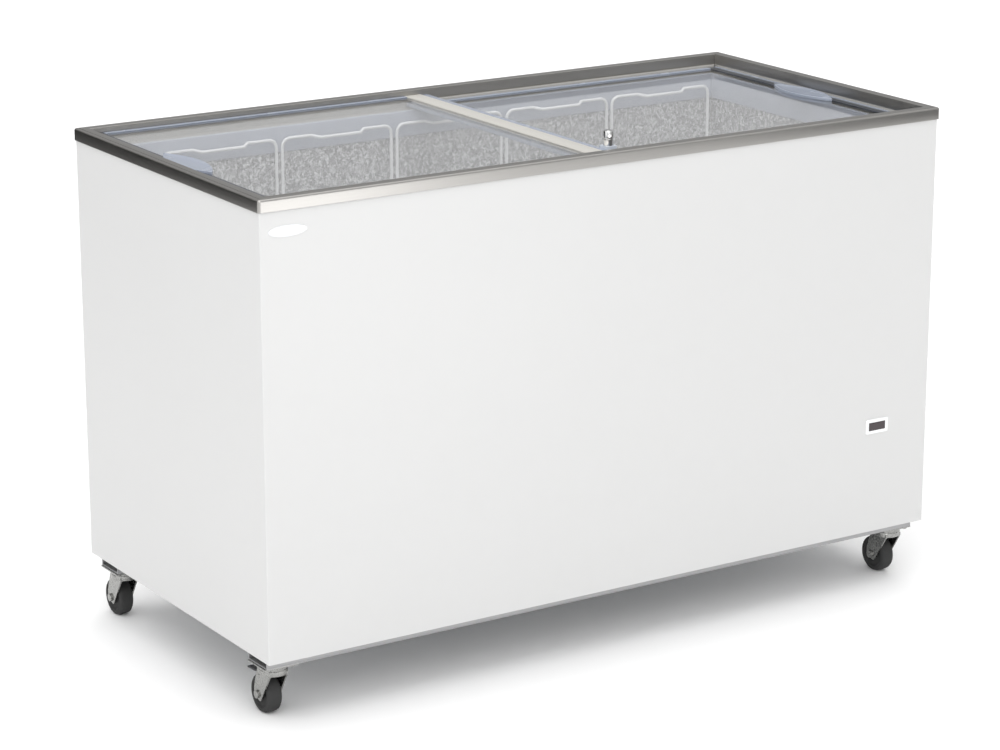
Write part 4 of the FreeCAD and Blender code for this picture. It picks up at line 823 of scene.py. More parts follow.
WHITE_STEEL = Finish("white_powder_coat", "painted_steel", (0.645, 0.645, 0.642), roughness=0.55,
                     grain=Grain.PEEL, grain_scale=620.0, shade=0.008, bump=0.12, relief=0.05 * MM,
                     drift=0.012, dust=0.0, scuffs=0.04)
RIM_LONG = Finish("brushed_rim_long", "rim_aluminium", (0.4, 0.39, 0.375), metal=1.0, roughness=0.34,
                  grain=Grain.BRUSHED, grain_scale=900.0, stretch=ALONG_X, shade=0.1, bump=0.12, drift=0.06)
RIM_SHORT = Finish("brushed_rim_short", "rim_aluminium", (0.4, 0.39, 0.375), metal=1.0, roughness=0.34,
                   grain=Grain.BRUSHED, grain_scale=900.0, stretch=ALONG_Y, shade=0.1, bump=0.12,
                   drift=0.06)
TRACK_PVC = Finish("track_pvc", "track_plastic", (0.46, 0.49, 0.57), roughness=0.34, grain=Grain.MOULDED,
                   grain_scale=500.0, shade=0.04, bump=0.06)
LEDGE_PVC = Finish("ledge_profile", "track_plastic", (0.4, 0.39, 0.37), roughness=0.36, grain=Grain.MOULDED,
                   grain_scale=500.0, shade=0.05, bump=0.06)
# shade=0.55 makes the colour much lighter on the embossed cell tops and darker in the creases: painted glints and
# painted shade over the real bump.
STUCCO_LINER = Finish("stucco_aluminium", "liner_aluminium", (0.86, 0.86, 0.86), metal=0.6, roughness=0.2,
                      grain=Grain.STUCCO, grain_scale=210.0, shade=0.55, bump=1.0, relief=1.2 * MM,
                      scuffs=0.05)
GALVANISED = Finish("galvanised_sheet", "galvanised_steel", (0.62, 0.63, 0.64), metal=0.9, roughness=0.42,
                    grain=Grain.SPANGLE, grain_scale=110.0, shade=0.14, bump=0.08, dust=0.1, scuffs=0.3)
CHANNEL_STEEL = Finish("channel_steel", "galvanised_steel", (0.42, 0.42, 0.425), metal=0.5, roughness=0.42,
                       grain=Grain.BRUSHED, grain_scale=500.0, stretch=ALONG_X, shade=0.15, bump=0.06,
                       scuffs=0.3)
FOAM_YELLOW = Finish("cut_foam", "foam", (0.8, 0.68, 0.36), roughness=0.9, grain=Grain.FOAM,
                     grain_scale=900.0, shade=0.2, bump=0.6, relief=0.5 * MM)
COPPER = Finish("drawn_copper", "copper", (0.78, 0.38, 0.24), metal=1.0, roughness=0.3, grain=Grain.BRUSHED,
                grain_scale=300.0, shade=0.2, bump=0.05, drift=0.3, scuffs=0.3)
BLACK_STEEL = Finish("black_stoved_steel", "black_steel", (0.018, 0.018, 0.02), roughness=0.36,
                     grain=Grain.PEEL, grain_scale=480.0, bump=0.2, dust=0.12, scuffs=0.2)
BLACK_RUBBER = Finish("black_rubber", "black_rubber", (0.011, 0.01, 0.011), roughness=0.36,
                      grain=Grain.MOULDED, grain_scale=700.0, shade=0.2, bump=0.15, drift=0.3, dust=0.02,
                      scuffs=0.2)
BLACK_PLASTIC = Finish("black_plastic", "black_plastic", (0.022, 0.022, 0.025), roughness=0.38,
                       grain=Grain.MOULDED, grain_scale=900.0, bump=0.2, dust=0.06)
WHITE_PLASTIC = Finish("white_plastic", "white_plastic", (0.66, 0.665, 0.67), roughness=0.3,
                       grain=Grain.MOULDED, grain_scale=700.0, shade=0.02, bump=0.06, glow=0.05)
SMOKED_WINDOW = Finish("smoked_window", "smoked_window", (0.012, 0.01, 0.008), roughness=0.14,
                       grain=Grain.MOULDED, grain_scale=200.0, bump=0.02, coat=0.3)
BADGE_SILVER = Finish("badge_silver", "badge_silver", (0.3, 0.3, 0.31), metal=0.0, roughness=0.5,
                      grain=Grain.BRUSHED, grain_scale=1400.0, stretch=ALONG_X, shade=0.08, bump=0.08)
LID_PLASTIC = Finish("frosted_edging", "lid_plastic", (0.33, 0.365, 0.44), roughness=0.26,
                     grain=Grain.MOULDED, grain_scale=420.0, shade=0.03, bump=0.06, coat=0.3, glow=0.1,
                     scuffs=0.02)
# Dark slate for the inner part of each lid's end profile, past the pale edging: painted shade, standing in for the
# shadow seen along the ledge under the lid's end.
END_SHADE_DARK = Finish("slate_seal", "lid_plastic", (0.05, 0.056, 0.07), roughness=0.3, grain=Grain.MOULDED,
                    grain_scale=420.0, shade=0.05, bump=0.05, coat=0.5, scuffs=0.02)
LOCK_WHITE = Finish("pale_lock_block", "lid_plastic", (0.6, 0.64, 0.7), roughness=0.3, grain=Grain.MOULDED,
                    grain_scale=420.0, shade=0.03, bump=0.05, glow=0.1)
STILE_METAL = Finish("satin_stile", "stile_aluminium", (0.8, 0.78, 0.73), metal=0.55, roughness=0.38,
                     grain=Grain.BRUSHED, grain_scale=900.0, stretch=ALONG_Y, shade=0.08, bump=0.1)
LOCK_CHROME = Finish("lock_chrome", "lock_chrome", (0.88, 0.89, 0.9), metal=1.0, roughness=0.07,
                     grain=Grain.SKIN, grain_scale=300.0, shade=0.02, bump=0.02, scuffs=0.3)
BRIGHT_ZINC = Finish("bright_zinc", "caster_zinc", (0.33, 0.33, 0.32), metal=1.0, roughness=0.26,
                     grain=Grain.SPANGLE, grain_scale=420.0, shade=0.1, bump=0.06, drift=0.2, dust=0.06,
                     scuffs=0.4)
COATED_WIRE = Finish("white_coated_wire", "basket_wire", (0.9, 0.9, 0.91), roughness=0.28, grain=Grain.PEEL,
                     grain_scale=500.0, shade=0.02, bump=0.1, coat=0.3)
LID_GLASS = Glazing("tempered_glass", "lid_glass", (0.985, 0.99, 0.993))

Dress = Union[Finish, Glazing]


# ---------------------------------------------------------------- pieces

def make_piece(name: str, surfaces: Sequence[Surface], dress: Dress, body: str,
               stands_for: Sequence[str] = (),
               crease: float = 35.0, bevel: float = 0.0) -> bpy.types.Object:
    """Make one finished piece at the origin.

    Args:
        name: The piece's name.
        surfaces: Its surfaces, in metres, in the row frame.
        dress: Its finish.
        body: The CAD body that it rides on.
        stands_for: The CAD nodes that it replaces.
        crease: Edges sharper than this many degrees stay crisp.
        bevel: The width of a bevel along its sharp edges, if any.

    Returns:
        The object.
    """
    offsets = np.cumsum([0] + [len(surface.points) for surface in surfaces])
    points = np.concatenate([surface.points for surface in surfaces])
    faces = [tuple(index + int(offset) for index in face)
             for surface, offset in zip(surfaces, offsets) for face in surface.faces]
    mesh = bpy.data.meshes.new(name)
    mesh.from_pydata(points.tolist(), [], faces)
    shaped = bmesh.new()
    shaped.from_mesh(mesh)
    bmesh.ops.remove_doubles(shaped, verts=shaped.verts, dist=SAME_POINT)
    bmesh.ops.dissolve_degenerate(shaped, edges=shaped.edges, dist=NO_EDGE)
    bmesh.ops.recalc_face_normals(shaped, faces=shaped.faces)
    shaped.to_mesh(mesh)
    shaped.free()
    mesh.polygons.foreach_set("use_smooth", np.ones(len(mesh.polygons), bool))
    mesh.set_sharp_from_angle(angle=math.radians(crease))
    mesh.materials.append(dress.material())
    piece = place_object(name, mesh)
    if bevel > 0:
        soften(piece, bevel)
    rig.ride(piece, body)
    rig.slot(piece, dress.slot)
    if stands_for:
        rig.replaces(piece, *stands_for)
    LOG.info("%s: %d faces on %s", name, len(mesh.polygons), body)
    return piece


def soften(piece: bpy.types.Object, width: float, segments: int = 2) -> None:
    """Round a piece's sharp edges with a bevel of that width."""
    bevel = piece.modifiers.new("soft_edges", "BEVEL")
    bevel.width = width
    bevel.segments = segments
    bevel.limit_method = "ANGLE"
    bevel.angle_limit = math.radians(SOFT_ANGLE)
    bevel.harden_normals = False


def dress_node(name: str, dress: Dress, bevel: float = 0.0) -> None:
    """Give a CAD node its finish, and soft edges where a width is given.

    Args:
        name: The node.
        dress: Its finish.
        bevel: The width of its softened edges.
    """
    node = frame["nodes"][name]
    node.data.materials.clear()
    node.data.materials.append(dress.material())
    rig.slot(node, dress.slot)
    if bevel > 0:
        weld = node.modifiers.new("joined_corners", "WELD")
        weld.merge_threshold = JOINED_CORNER
        flat = node.modifiers.new("flat_faces", "DECIMATE")
        flat.decimate_type = "DISSOLVE"
        flat.angle_limit = math.radians(FLAT_ANGLE)
        soften(node, bevel)
    LOG.info("%s dressed in %s", name, dress.name)


# ---------------------------------------------------------------- cabinet

@dataclass
class Cabinet:
    """The painted shell, the embossed liner and what lies between and under them.

    Attributes:
        fold: Radius of the shell's upright folds.
        hem: Width of the flange turned in along its bottom.
        sheet: Thickness of the steel.
        liner_fold: Radius of the liner's folds.
        body: The CAD body.
    """

    fold: float = 2.5 * MM
    hem: float = 14 * MM
    sheet: float = 0.8 * MM
    liner_fold: float = 7 * MM
    body: str = "cabinet"

    def build(self) -> None:
        """Build and dress the cabinet."""
        self.shell()
        self.liner()
        for name in ("base_channel_front", "base_channel_rear"):
            dress_node(name, CHANNEL_STEEL, 0.5 * MM)
        dress_node("back_panel", WHITE_STEEL)
        dress_node("bottom_pan", GALVANISED)
        dress_node("insulation_foam", FOAM_YELLOW)
        for name in ("evaporator_coil", "condenser_coil"):
            dress_node(name, COPPER)
        dress_node("drain_tube", WHITE_PLASTIC)
        dress_node("drain_plug", BLACK_RUBBER, 0.4 * MM)

    def shell(self) -> None:
        """Wrap one sheet round the front and both sides, with a hem turned in along the bottom.

        The section runs down the outer face, round the fold into the hem and back up the
        inner face, and is carried round the plan at its insets.
        """
        low, high = span("outer_shell")
        tall = high[2] - low[2]
        bend = 1.2 * MM
        corners = [(0, 0), (0, -tall), (self.hem, -tall), (self.hem, -tall + self.sheet),
                   (self.sheet, -tall + self.sheet), (self.sheet, 0)]
        section = rounded_corners(corners, [0, bend, 0, 0, 0.3 * MM, 0], 3)
        folds = [np.linspace(start + OFF_TURN, start + 90 - OFF_TURN, 7) for start in (180, 270)]
        turns = np.concatenate([[180 - OFF_TURN], *folds, [OFF_TURN]])
        plan = edge_plan(high[0], high[1], self.fold, section[:, 0], turns)
        plan[[0, -1], :, 1] = high[1]
        heights = np.broadcast_to(high[2] + section[None, :, 1:], plan.shape[:2] + (1,))
        wrap = grid_surface(np.concatenate([plan, heights], -1), close_columns=True, caps=True)
        make_piece("shell_wrap", [wrap], WHITE_STEEL, self.body, ["outer_shell"], crease=50)

    def liner(self) -> None:
        """Fold the tub's strip: left end, floor, riser, step and right end."""
        low, high = span("liner_strip")
        step_top, riser = self._step()
        left, right, floor = low[0] + self.sheet, high[0] - self.sheet, low[2] + self.sheet
        corners = [(left, high[2]), (left, floor), (riser, floor), (riser, step_top), (right, step_top),
                   (right, high[2])]
        line = rounded_corners(corners, [0] + [self.liner_fold] * 4 + [0], 6, closed=False)
        strip = folded_sheet(line, self.sheet, low[1], high[1])
        make_piece("liner_tub_strip", [strip], STUCCO_LINER, self.body, ["liner_strip"])
        dress_node("liner_side_sheets", STUCCO_LINER)

    @staticmethod
    def _step() -> tuple[float, float]:
        """Return the height of the step over the compressor and X of its riser."""
        step_top = span("basket_5")[0][2] - 0.6 * MM
        riser = span("compressor_tray")[0][0] - 45.2 * MM
        return float(step_top), float(riser)


@dataclass
class Rim:
    """The brushed rim and the plastic lid tracks under it, four mitred rails each.

    Attributes:
        corner: Radius of the rim's outer corners.
        mitre_gap: The fine open joint at each mitre.
        body: The CAD body.
    """

    corner: float = 5 * MM
    mitre_gap: float = 0.16 * MM
    body: str = "cabinet"

    def build(self) -> None:
        """Build the four rim rails, and under each a ribbed ledge and a smooth collar."""
        low, high = span("rim_front")
        track_low, track_high = span("lid_track_front")
        half_wide, half_deep, top = high[0], -low[1], high[2]
        upper, foot = track_high[2] - top, track_low[2] - top
        lower = span("lower_lid_runners")[0][2] - 0.3 * MM - top
        for side in Side:
            name = side.name.lower()
            lengthwise = side in (Side.FRONT, Side.REAR)
            metal = RIM_LONG if lengthwise else RIM_SHORT
            rim = edge_rail(side, half_wide, half_deep, self.corner, self.rim_section(upper), top,
                            self.mitre_gap)
            make_piece(f"rim_rail_{name}", [rim], metal, self.body, [f"rim_{name}"], crease=30)
            ledge, collar = [edge_rail(side, half_wide, half_deep, 0.0, section, top, self.mitre_gap, 1)
                             for section in (self.ledge_section(lengthwise, upper, lower),
                                             self.collar_section(lower, foot))]
            make_piece(f"track_ledge_{name}", [ledge], LEDGE_PVC, self.body, [f"lid_track_{name}"], crease=30)
            make_piece(f"track_collar_{name}", [collar], TRACK_PVC, self.body, crease=30)

    @staticmethod
    def rim_section(upper: float) -> Array:
        """Return the extrusion's outline: skirt, rounded nose, grooved top and inner lip.

        Args:
            upper: Height of the upper ledge, below the rim's top.
        """
        wide, wall, deep = 20 * MM, 1.5 * MM, 20 * MM
        near, far, sunk = 6 * MM, 7.2 * MM, -0.6 * MM
        corners = [
            (0, -deep), (0, 0), (near, 0), (near, sunk), (far, sunk), (far, 0), (wide, 0), (wide, upper),
            (wide - wall, upper), (wide - wall, -wall), (wall, -wall), (wall, wall - deep),
            (3 * MM, wall - deep),
            (3 * MM, -deep),
        ]
        radii = np.array([0.4, 4.0, 0.25, 0.15, 0.15, 0.25, 0.9, 0.3, 0.3, 0.3, 2.5, 0.2, 0.3, 0.3]) * MM
        return rounded_corners(corners, radii, 6)

    @staticmethod
    def ledge_section(stepped: bool, upper: float, lower: float) -> Array:
        """Return the ribbed part of the track: upper ledge, step and lower ledge.

        Args:
            stepped: Whether the upper ledge reaches out past the rim.
            upper: Height of the upper ledge, below the rim's top.
            lower: Height of the lower ledge.
        """
        step, outer, end, wall = (28 if stepped else 20) * MM, 4.1 * MM, 44.8 * MM, 3 * MM
        corners = [(outer, upper, 0.3)]
        corners += Rim._grooves([(22, 25)], upper) if stepped else []
        corners += [(step, upper, 0.8), (step, lower, 0.6)]
        corners += Rim._grooves([(31.2, 33.6), (36.4, 38.0), (41.0, 42.6)], lower)
        corners += [(end, lower, 0.3), (end, lower - wall, 0.3), (step - wall, lower - wall, 0.5),
                    (step - wall, upper - wall, 0.5), (outer, upper - wall, 0.3)]
        outline = np.array(corners)
        return rounded_corners(outline[:, :2], outline[:, 2] * MM, 3)

    @staticmethod
    def _grooves(edges: Sequence[tuple[float, float]], height: float) -> list[tuple[float, float, float]]:
        """Return the grooves of a ledge at a height, as points with their corner radii.

        Args:
            edges: The near and far edge of each groove, in millimetres.
            height: Height of the ledge, below the rim's top.
        """
        sunk = height - 1.1 * MM
        points = []
        for near, far in edges:
            points += [(near * MM, height, 0.35), (near * MM, sunk, 0.2), (far * MM, sunk, 0.2),
                       (far * MM, height, 0.35)]
        return points

    @staticmethod
    def collar_section(lower: float, foot: float) -> Array:
        """Return the smooth part of the track: a lip on the ledge and the collar below it.

        Args:
            lower: Height of the lower ledge, below the rim's top.
            foot: Height of the collar's foot.
        """
        near, collar, wall = 45 * MM, 50 * MM, 3 * MM
        corners = [(near, lower), (collar, lower), (collar, foot), (collar - wall, foot),
                   (collar - wall, lower - wall), (near, lower - wall)]
        return rounded_corners(corners, np.array([0.4, 1.8, 1.0, 0.6, 0.5, 0.3]) * MM, 4)


# ---------------------------------------------------------------- lids

class LidSide(Enum):
    """The two lids. The value is the direction of the outer end along X."""

    UPPER = -1
    LOWER = 1


@dataclass
class SlidingLid:
    """One glass lid: pane, runners, outer end with its grip, and meeting stile.

    Attributes:
        which: Upper or lower.
        runner_wide: Width of the edge channel.
        foot_wide: Width of the foot that it slides on.
        lip: Thickness of the channel's lips.
        glass: Thickness of the pane.
        end_wide: Width of the outer end profile.
        edging: Width of the pale edging along its outer end.
        grip_long: Length of the grip.
        grip_wide: Width of the grip.
        grip_rise: How far the grip stands above the end profile.
    """

    which: LidSide
    runner_wide: float = 10 * MM
    foot_wide: float = 5 * MM
    lip: float = 1.5 * MM
    glass: float = 4 * MM
    end_wide: float = 22 * MM
    edging: float = 6.5 * MM
    grip_long: float = 165 * MM
    grip_wide: float = 50 * MM
    grip_rise: float = 3.5 * MM
    name: str = field(init=False)

    def __post_init__(self) -> None:
        """Take the CAD body's name from which lid this is."""
        self.name = self.which.name.lower() + "_lid"

    def build(self) -> None:
        """Build and dress the lid."""
        dress_node(f"{self.name}_glass", LID_GLASS)
        self.runners()
        self.end_profile()

    def runners(self) -> None:
        """Run the edge channel along the front and the rear of the pane."""
        low, high = span(f"{self.name}_runners")
        tall = high[2] - low[2]
        seat = tall - self.lip - self.glass
        depth, foot = self.runner_wide, self.foot_wide
        slot = depth - 6 * MM
        corners = [(0, 0), (0, tall), (depth, tall), (depth, seat + self.glass), (slot, seat + self.glass),
                   (slot, seat), (depth, seat), (depth, seat - self.lip), (foot, seat - self.lip), (foot, 0)]
        radii = np.array([0.8, 1.1, 0.6, 0.3, 0.1, 0.1, 0.3, 0.5, 0.4, 0.8]) * MM
        section = rounded_corners(corners, radii, 4)
        surfaces = [bar(np.stack([edge + sign * section[:, 0], low[2] + section[:, 1]], -1), 0, low[0],
                        high[0])
                    for sign, edge in ((1.0, low[1]), (-1.0, high[1]))]
        make_piece(f"{self.name}_edge_channels", surfaces, LID_PLASTIC, self.name, [f"{self.name}_runners"])

    def end_profile(self) -> None:
        """Run the end profile along Y and set the lens-shaped grip on it."""
        low, high = span(f"{self.name}_end_profile")
        sign = self.which.value
        outer = high[0] if sign > 0 else low[0]
        crown = high[2] - self.grip_rise
        floor = low[2]
        glass_low, glass_high = span(f"{self.name}_glass")
        seat, seat_top = glass_low[2], glass_high[2]
        reach, slot = self.end_wide, self.end_wide - 6 * MM
        edging = np.array([(0, floor), (0, crown), (self.edging, crown), (self.edging, floor)])
        # The rest of the profile past the edging holds the pane and is shown dark: painted shade, standing in for the
        # shadow seen along the ledge under the lid's end.
        near, sunk = self.edging + 0.15 * MM, crown - 0.4 * MM
        shaded_part = np.array([(near, floor), (near, sunk), (reach, sunk), (reach, seat_top), (slot, seat_top),
                         (slot, seat), (reach, seat), (reach, floor)])
        bars = []
        for corners, radii in ((edging, [0.6, 1.2, 0.5, 0.3]),
                               (shaded_part, [0.3, 0.3, 0.6, 0.3, 0.1, 0.1, 0.3, 0.6])):
            section = rounded_corners(corners, np.array(radii) * MM, 4)
            section[:, 0] = outer - sign * section[:, 0]
            bars.append(bar(section, 1, low[1], high[1]))
        centre = (outer - sign * (self.grip_wide / 2 + 0.2 * MM), 0.0, 0.0)
        top = high[2]
        levels = [(0.0, seat_top + 0.05 * MM), (0.0, top - 1.4 * MM), (0.3 * MM, top - 0.5 * MM),
                  (1.0 * MM, top), (2.4 * MM, top), (4.0 * MM, top - 0.5 * MM), (8.0 * MM, top - 1.1 * MM),
                  (14.0 * MM, top - 1.35 * MM), (20.0 * MM, top - 1.45 * MM)]
        grip = loft(lens_plan(self.grip_long, self.grip_wide), levels, centre)
        make_piece(f"{self.name}_end_edging", bars[:1], LID_PLASTIC, self.name, [f"{self.name}_end_profile"])
        make_piece(f"{self.name}_end_seal", bars[1:], END_SHADE_DARK, self.name)
        make_piece(f"{self.name}_grip", [grip], LID_PLASTIC, self.name)


@dataclass
class MeetingStiles:
    """The two bars that meet in the middle of the lids."""

    def build(self) -> None:
        """Build the upper bar with its edge strip, and the lower bar with its draught lip."""
        low, high = span("upper_lid_stile")
        glass = span("upper_lid_glass")
        wide = 33 * MM
        left, right, floor, crown = low[0], low[0] + wide, low[2], high[2]
        seat, seat_top, slot = glass[0][2], glass[1][2], left + 6.2 * MM
        outline = [(left, floor), (left, seat), (slot, seat), (slot, seat_top), (left, seat_top),
                   (left, crown),
               (left + 2.2 * MM, crown), (left + 2.2 * MM, crown - 0.35 * MM),
                   (left + 3.2 * MM, crown - 0.35 * MM),
               (left + 3.2 * MM, crown), (right, crown), (right, floor)]
        radii = np.array([0.5, 0.3, 0.1, 0.1, 0.3, 0.8, 0.1, 0.1, 0.1, 0.1, 1.0, 0.4]) * MM
        self._run("upper_stile_bar", outline, radii, low, high, STILE_METAL, "upper_lid", ["upper_lid_stile"])
        strip_left = right + 2 * MM
        strip = [(right - 1.0 * MM, floor + 0.2 * MM), (high[0], floor + 0.2 * MM), (high[0], seat_top),
                 (strip_left, seat_top), (strip_left, seat_top - 2.2 * MM),
                 (right - 1.0 * MM, seat_top - 2.2 * MM)]
        self._run("upper_stile_strip", strip, np.array([0.3, 0.4, 1.2, 0.5, 0.3, 0.3]) * MM, low, high,
                  LID_PLASTIC, "upper_lid")

        low, high = span("lower_lid_stile")
        glass = span("lower_lid_glass")
        floor, crown, tip = low[2], low[2] + 1.5 * MM + 4 * MM + 1.5 * MM, high[2]
        seat, seat_top, slot = glass[0][2], glass[1][2], high[0] - 6.2 * MM
        lip_left, lip_right = low[0] + 8 * MM, low[0] + 16 * MM
        outline = [(low[0], floor), (high[0], floor), (high[0], seat), (slot, seat), (slot, seat_top),
               (high[0], seat_top), (high[0], crown), (lip_right, crown), (lip_right, tip), (lip_left, tip),
               (lip_left, crown), (low[0], crown)]
        radii = np.array([0.5, 0.5, 0.3, 0.1, 0.1, 0.3, 0.5, 0.8, 1.2, 1.2, 0.8, 0.8]) * MM
        self._run("lower_stile_bar", outline, radii, low, high, LID_PLASTIC, "lower_lid", ["lower_lid_stile"])

    @staticmethod
    def _run(name: str, corners: list, radii: Array, low: Array, high: Array, dress: Dress, body: str,
             stands_for: Sequence[str] = ()) -> None:
        """Run an outline in X and Z along Y, from one CAD corner to the other."""
        section = rounded_corners(corners, radii, 4)
        make_piece(name, [bar(section, 1, low[1], high[1])], dress, body, stands_for)


@dataclass
class LidLock:
    """The push lock: chrome barrel with a waist, key plug, block and keeper."""

    def build(self) -> None:
        """Build the barrel and dress the rest."""
        low, high = span("lock_barrel")
        centre = (low + high) / 2
        radius, tall = (high[0] - low[0]) / 2, high[2] - low[2]
        plug = span("lock_key_plug")
        bore = (plug[1][0] - plug[0][0]) / 2 + 0.08 * MM
        depth = high[2] - plug[0][2] + 0.1 * MM
        outline = np.array([
            (0.0, 0.0), (radius - 0.6 * MM, 0.0), (radius, 0.6 * MM), (radius, tall * 0.56),
            (radius - 0.5 * MM, tall * 0.57), (radius - 0.6 * MM, tall * 0.6),
            (radius - 0.5 * MM, tall * 0.63),
            (radius, tall * 0.64), (radius, tall - 0.9 * MM), (radius - 0.3 * MM, tall - 0.3 * MM),
            (radius - 0.9 * MM, tall), (bore + 0.5 * MM, tall), (bore, tall - 0.4 * MM), (bore, tall - depth),
            (0.0, tall - depth),
        ])
        barrel = turned(outline, (centre[0], centre[1], low[2]), 2, 56)
        make_piece("lock_barrel_turned", [barrel], LOCK_CHROME, "lock_barrel", ["lock_barrel"], crease=32)
        dress_node("lock_key_plug", LOCK_CHROME, 0.15 * MM)
        dress_node("lock_block", LOCK_WHITE, 0.8 * MM)
        dress_node("lock_keeper", LID_PLASTIC, 0.6 * MM)


# ---------------------------------------------------------------- baskets

@dataclass
class WireBasket:
    """A welded basket of coated wire.

    Attributes:
        number: Its place in the row, from the left.
        frame_wire: Radius of the frame's wire.
        mesh_wire: Radius of the mesh's wire.
        corner: Bend of the end frames' top corners.
        mesh_drop: How far the mesh's top ring lies below the end frames.
        pitch: The aimed distance between mesh wires.
        dip_wide: Width of the finger dip in each end frame.
        dip_in: How far the dip bends inwards.
        dip_down: How far it bends down.
    """

    number: int
    frame_wire: float = 2.6 * MM
    mesh_wire: float = 1.6 * MM
    corner: float = 14 * MM
    mesh_drop: float = 110 * MM
    pitch: float = 46 * MM
    dip_wide: float = 78 * MM
    dip_in: float = 11 * MM
    dip_down: float = 3 * MM

    def build(self) -> None:
        """Weld the basket from bent wires."""
        node = f"basket_{self.number}"
        low, high = span(node)
        thick, thin = self.frame_wire, self.mesh_wire
        surfaces = [self.end_frame(low, high, end) for end in (-1.0, 1.0)]
        in_low = low + np.array([2 * thick + thin, 2 * thick + thin, thin])
        in_high = high - np.array([2 * thick + thin, 2 * thick + thin, self.mesh_drop])
        for height in self._ring_heights(in_low[2], in_high[2]):
            surfaces.append(self.ring(in_low, in_high, height,
                                      thin if height < in_high[2] - 1e-6 else thin * 1.35))
        surfaces += self.cradles(in_low, in_high, 0)
        surfaces += self.cradles(in_low, in_high, 1)
        make_piece(f"{node}_wires", surfaces, COATED_WIRE, node, [node], crease=60)

    def _ring_heights(self, low: float, high: float) -> Array:
        """Return the heights of the level rings, evenly spaced near the pitch."""
        count = max(2, round((high - low) / (self.pitch * 1.9)))
        return np.linspace(low + 2 * self.mesh_wire, high, count + 1)

    def end_frame(self, low: Array, high: Array, end: float) -> Surface:
        """Bend one end frame: up, over with the finger dip, and down, and under the floor.

        Args:
            low: The basket's lowest corner.
            high: Its highest corner.
            end: 1 for the rear frame and -1 for the front one.

        Returns:
            The closed wire.
        """
        thick = self.frame_wire
        y = (high[1] - thick) if end > 0 else (low[1] + thick)
        left, right, top = low[0] + thick, high[0] - thick, high[2] - thick
        foot = low[2] + thick
        middle, half = (left + right) / 2, self.dip_wide / 2
        inward, down = y - end * self.dip_in, top - self.dip_down
        corners = [
            (left, y, foot), (left, y, top), (middle - half - 12 * MM, y, top), (middle - half, inward, down),
            (middle + half, inward, down), (middle + half + 12 * MM, y, top), (right, y, top),
            (right, y, foot),
        ]
        bends = [9 * MM, self.corner, 6 * MM, 6 * MM, 6 * MM, 6 * MM, self.corner, 9 * MM]
        path = rounded_corners(corners, bends, 6)
        return wire(path, thick, (0, 1, 0), closed=True, sides=12)

    def ring(self, low: Array, high: Array, height: float, radius: float) -> Surface:
        """Bend one level ring of the mesh."""
        corners = [(low[0], low[1], height), (high[0], low[1], height), (high[0], high[1], height),
                   (low[0], high[1], height)]
        return wire(rounded_corners(corners, [7 * MM] * 4, 4), radius, (0, 0, 1), closed=True, sides=8)

    def cradles(self, low: Array, high: Array, across: int) -> list[Surface]:
        """Bend the U wires that go down one side, under the floor and up the other.

        Args:
            low: The mesh's lowest corner.
            high: The mesh's highest corner.
            across: The axis that each U spans, 0 for X and 1 for Y.

        Returns:
            One surface for each wire.
        """
        along = 1 - across
        thin = self.mesh_wire
        lift = 0.0 if across == 0 else 2 * thin
        count = max(2, round((high[along] - low[along]) / self.pitch))
        surfaces = []
        for place in np.linspace(low[along], high[along], count + 1)[1:-1]:
            corners = np.zeros((4, 3))
            corners[:, along] = place
            corners[:, across] = [low[across] - 2 * thin, low[across] - 2 * thin,
                                  high[across] + 2 * thin, high[across] + 2 * thin]
            corners[:, 2] = [high[2] + thin, low[2] + lift, low[2] + lift, high[2] + thin]
            path = rounded_corners(corners, [0, 8 * MM, 8 * MM, 0], 5, closed=False)
            normal = (0, 1, 0) if across == 0 else (1, 0, 0)
            surfaces.append(wire(path, thin, normal, sides=8))
        return surfaces


# ---------------------------------------------------------------- casters

@dataclass
class Caster:
    """A swivel caster: moulded wheel, zinc fork and, at the front, a brake pedal.

    Attributes:
        number: Its number.
        braked: Whether it has a pedal.
    """

    number: int
    braked: bool

    def build(self) -> None:
        """Build the wheel and dress the rest."""
        name = f"caster_{self.number}"
        low, high = span(f"{name}_wheel")
        centre = (low + high) / 2
        radius, half = (high[2] - low[2]) / 2, (high[0] - low[0]) / 2
        side = half - 0.8 * MM
        rim = [(4.08, half / MM), (8.6, half / MM), (9.3, half / MM - 0.5), (9.8, side / MM - 0.2),
               (11.2, side / MM - 2.6), (radius / MM - 10.4, side / MM - 3.0),
               (radius / MM - 8.6, side / MM - 1.0),
               (radius / MM - 7.6, side / MM), (radius / MM - 6.0, side / MM),
               (radius / MM - 5.4, side / MM - 0.5),
               (radius / MM - 3.2, side / MM - 0.6), (radius / MM - 1.2, side / MM - 2.2),
               (radius / MM - 0.25, side / MM - 5.2), (radius / MM, 3.2)]
        outer = np.array(rim) * MM
        mirrored = outer[::-1] * np.array([1, -1])
        profile = np.concatenate([outer, mirrored, outer[:1]])
        tread = turned(profile, centre, 0, 72)
        make_piece(f"{name}_moulded_wheel", [tread], BLACK_RUBBER, f"{name}_wheel", [f"{name}_wheel"],
                   crease=40)
        dress_node(f"{name}_fork", BRIGHT_ZINC, 0.5 * MM)
        if self.braked:
            dress_node(f"{name}_pedal", BLACK_PLASTIC, 0.5 * MM)


# ---------------------------------------------------------------- fittings

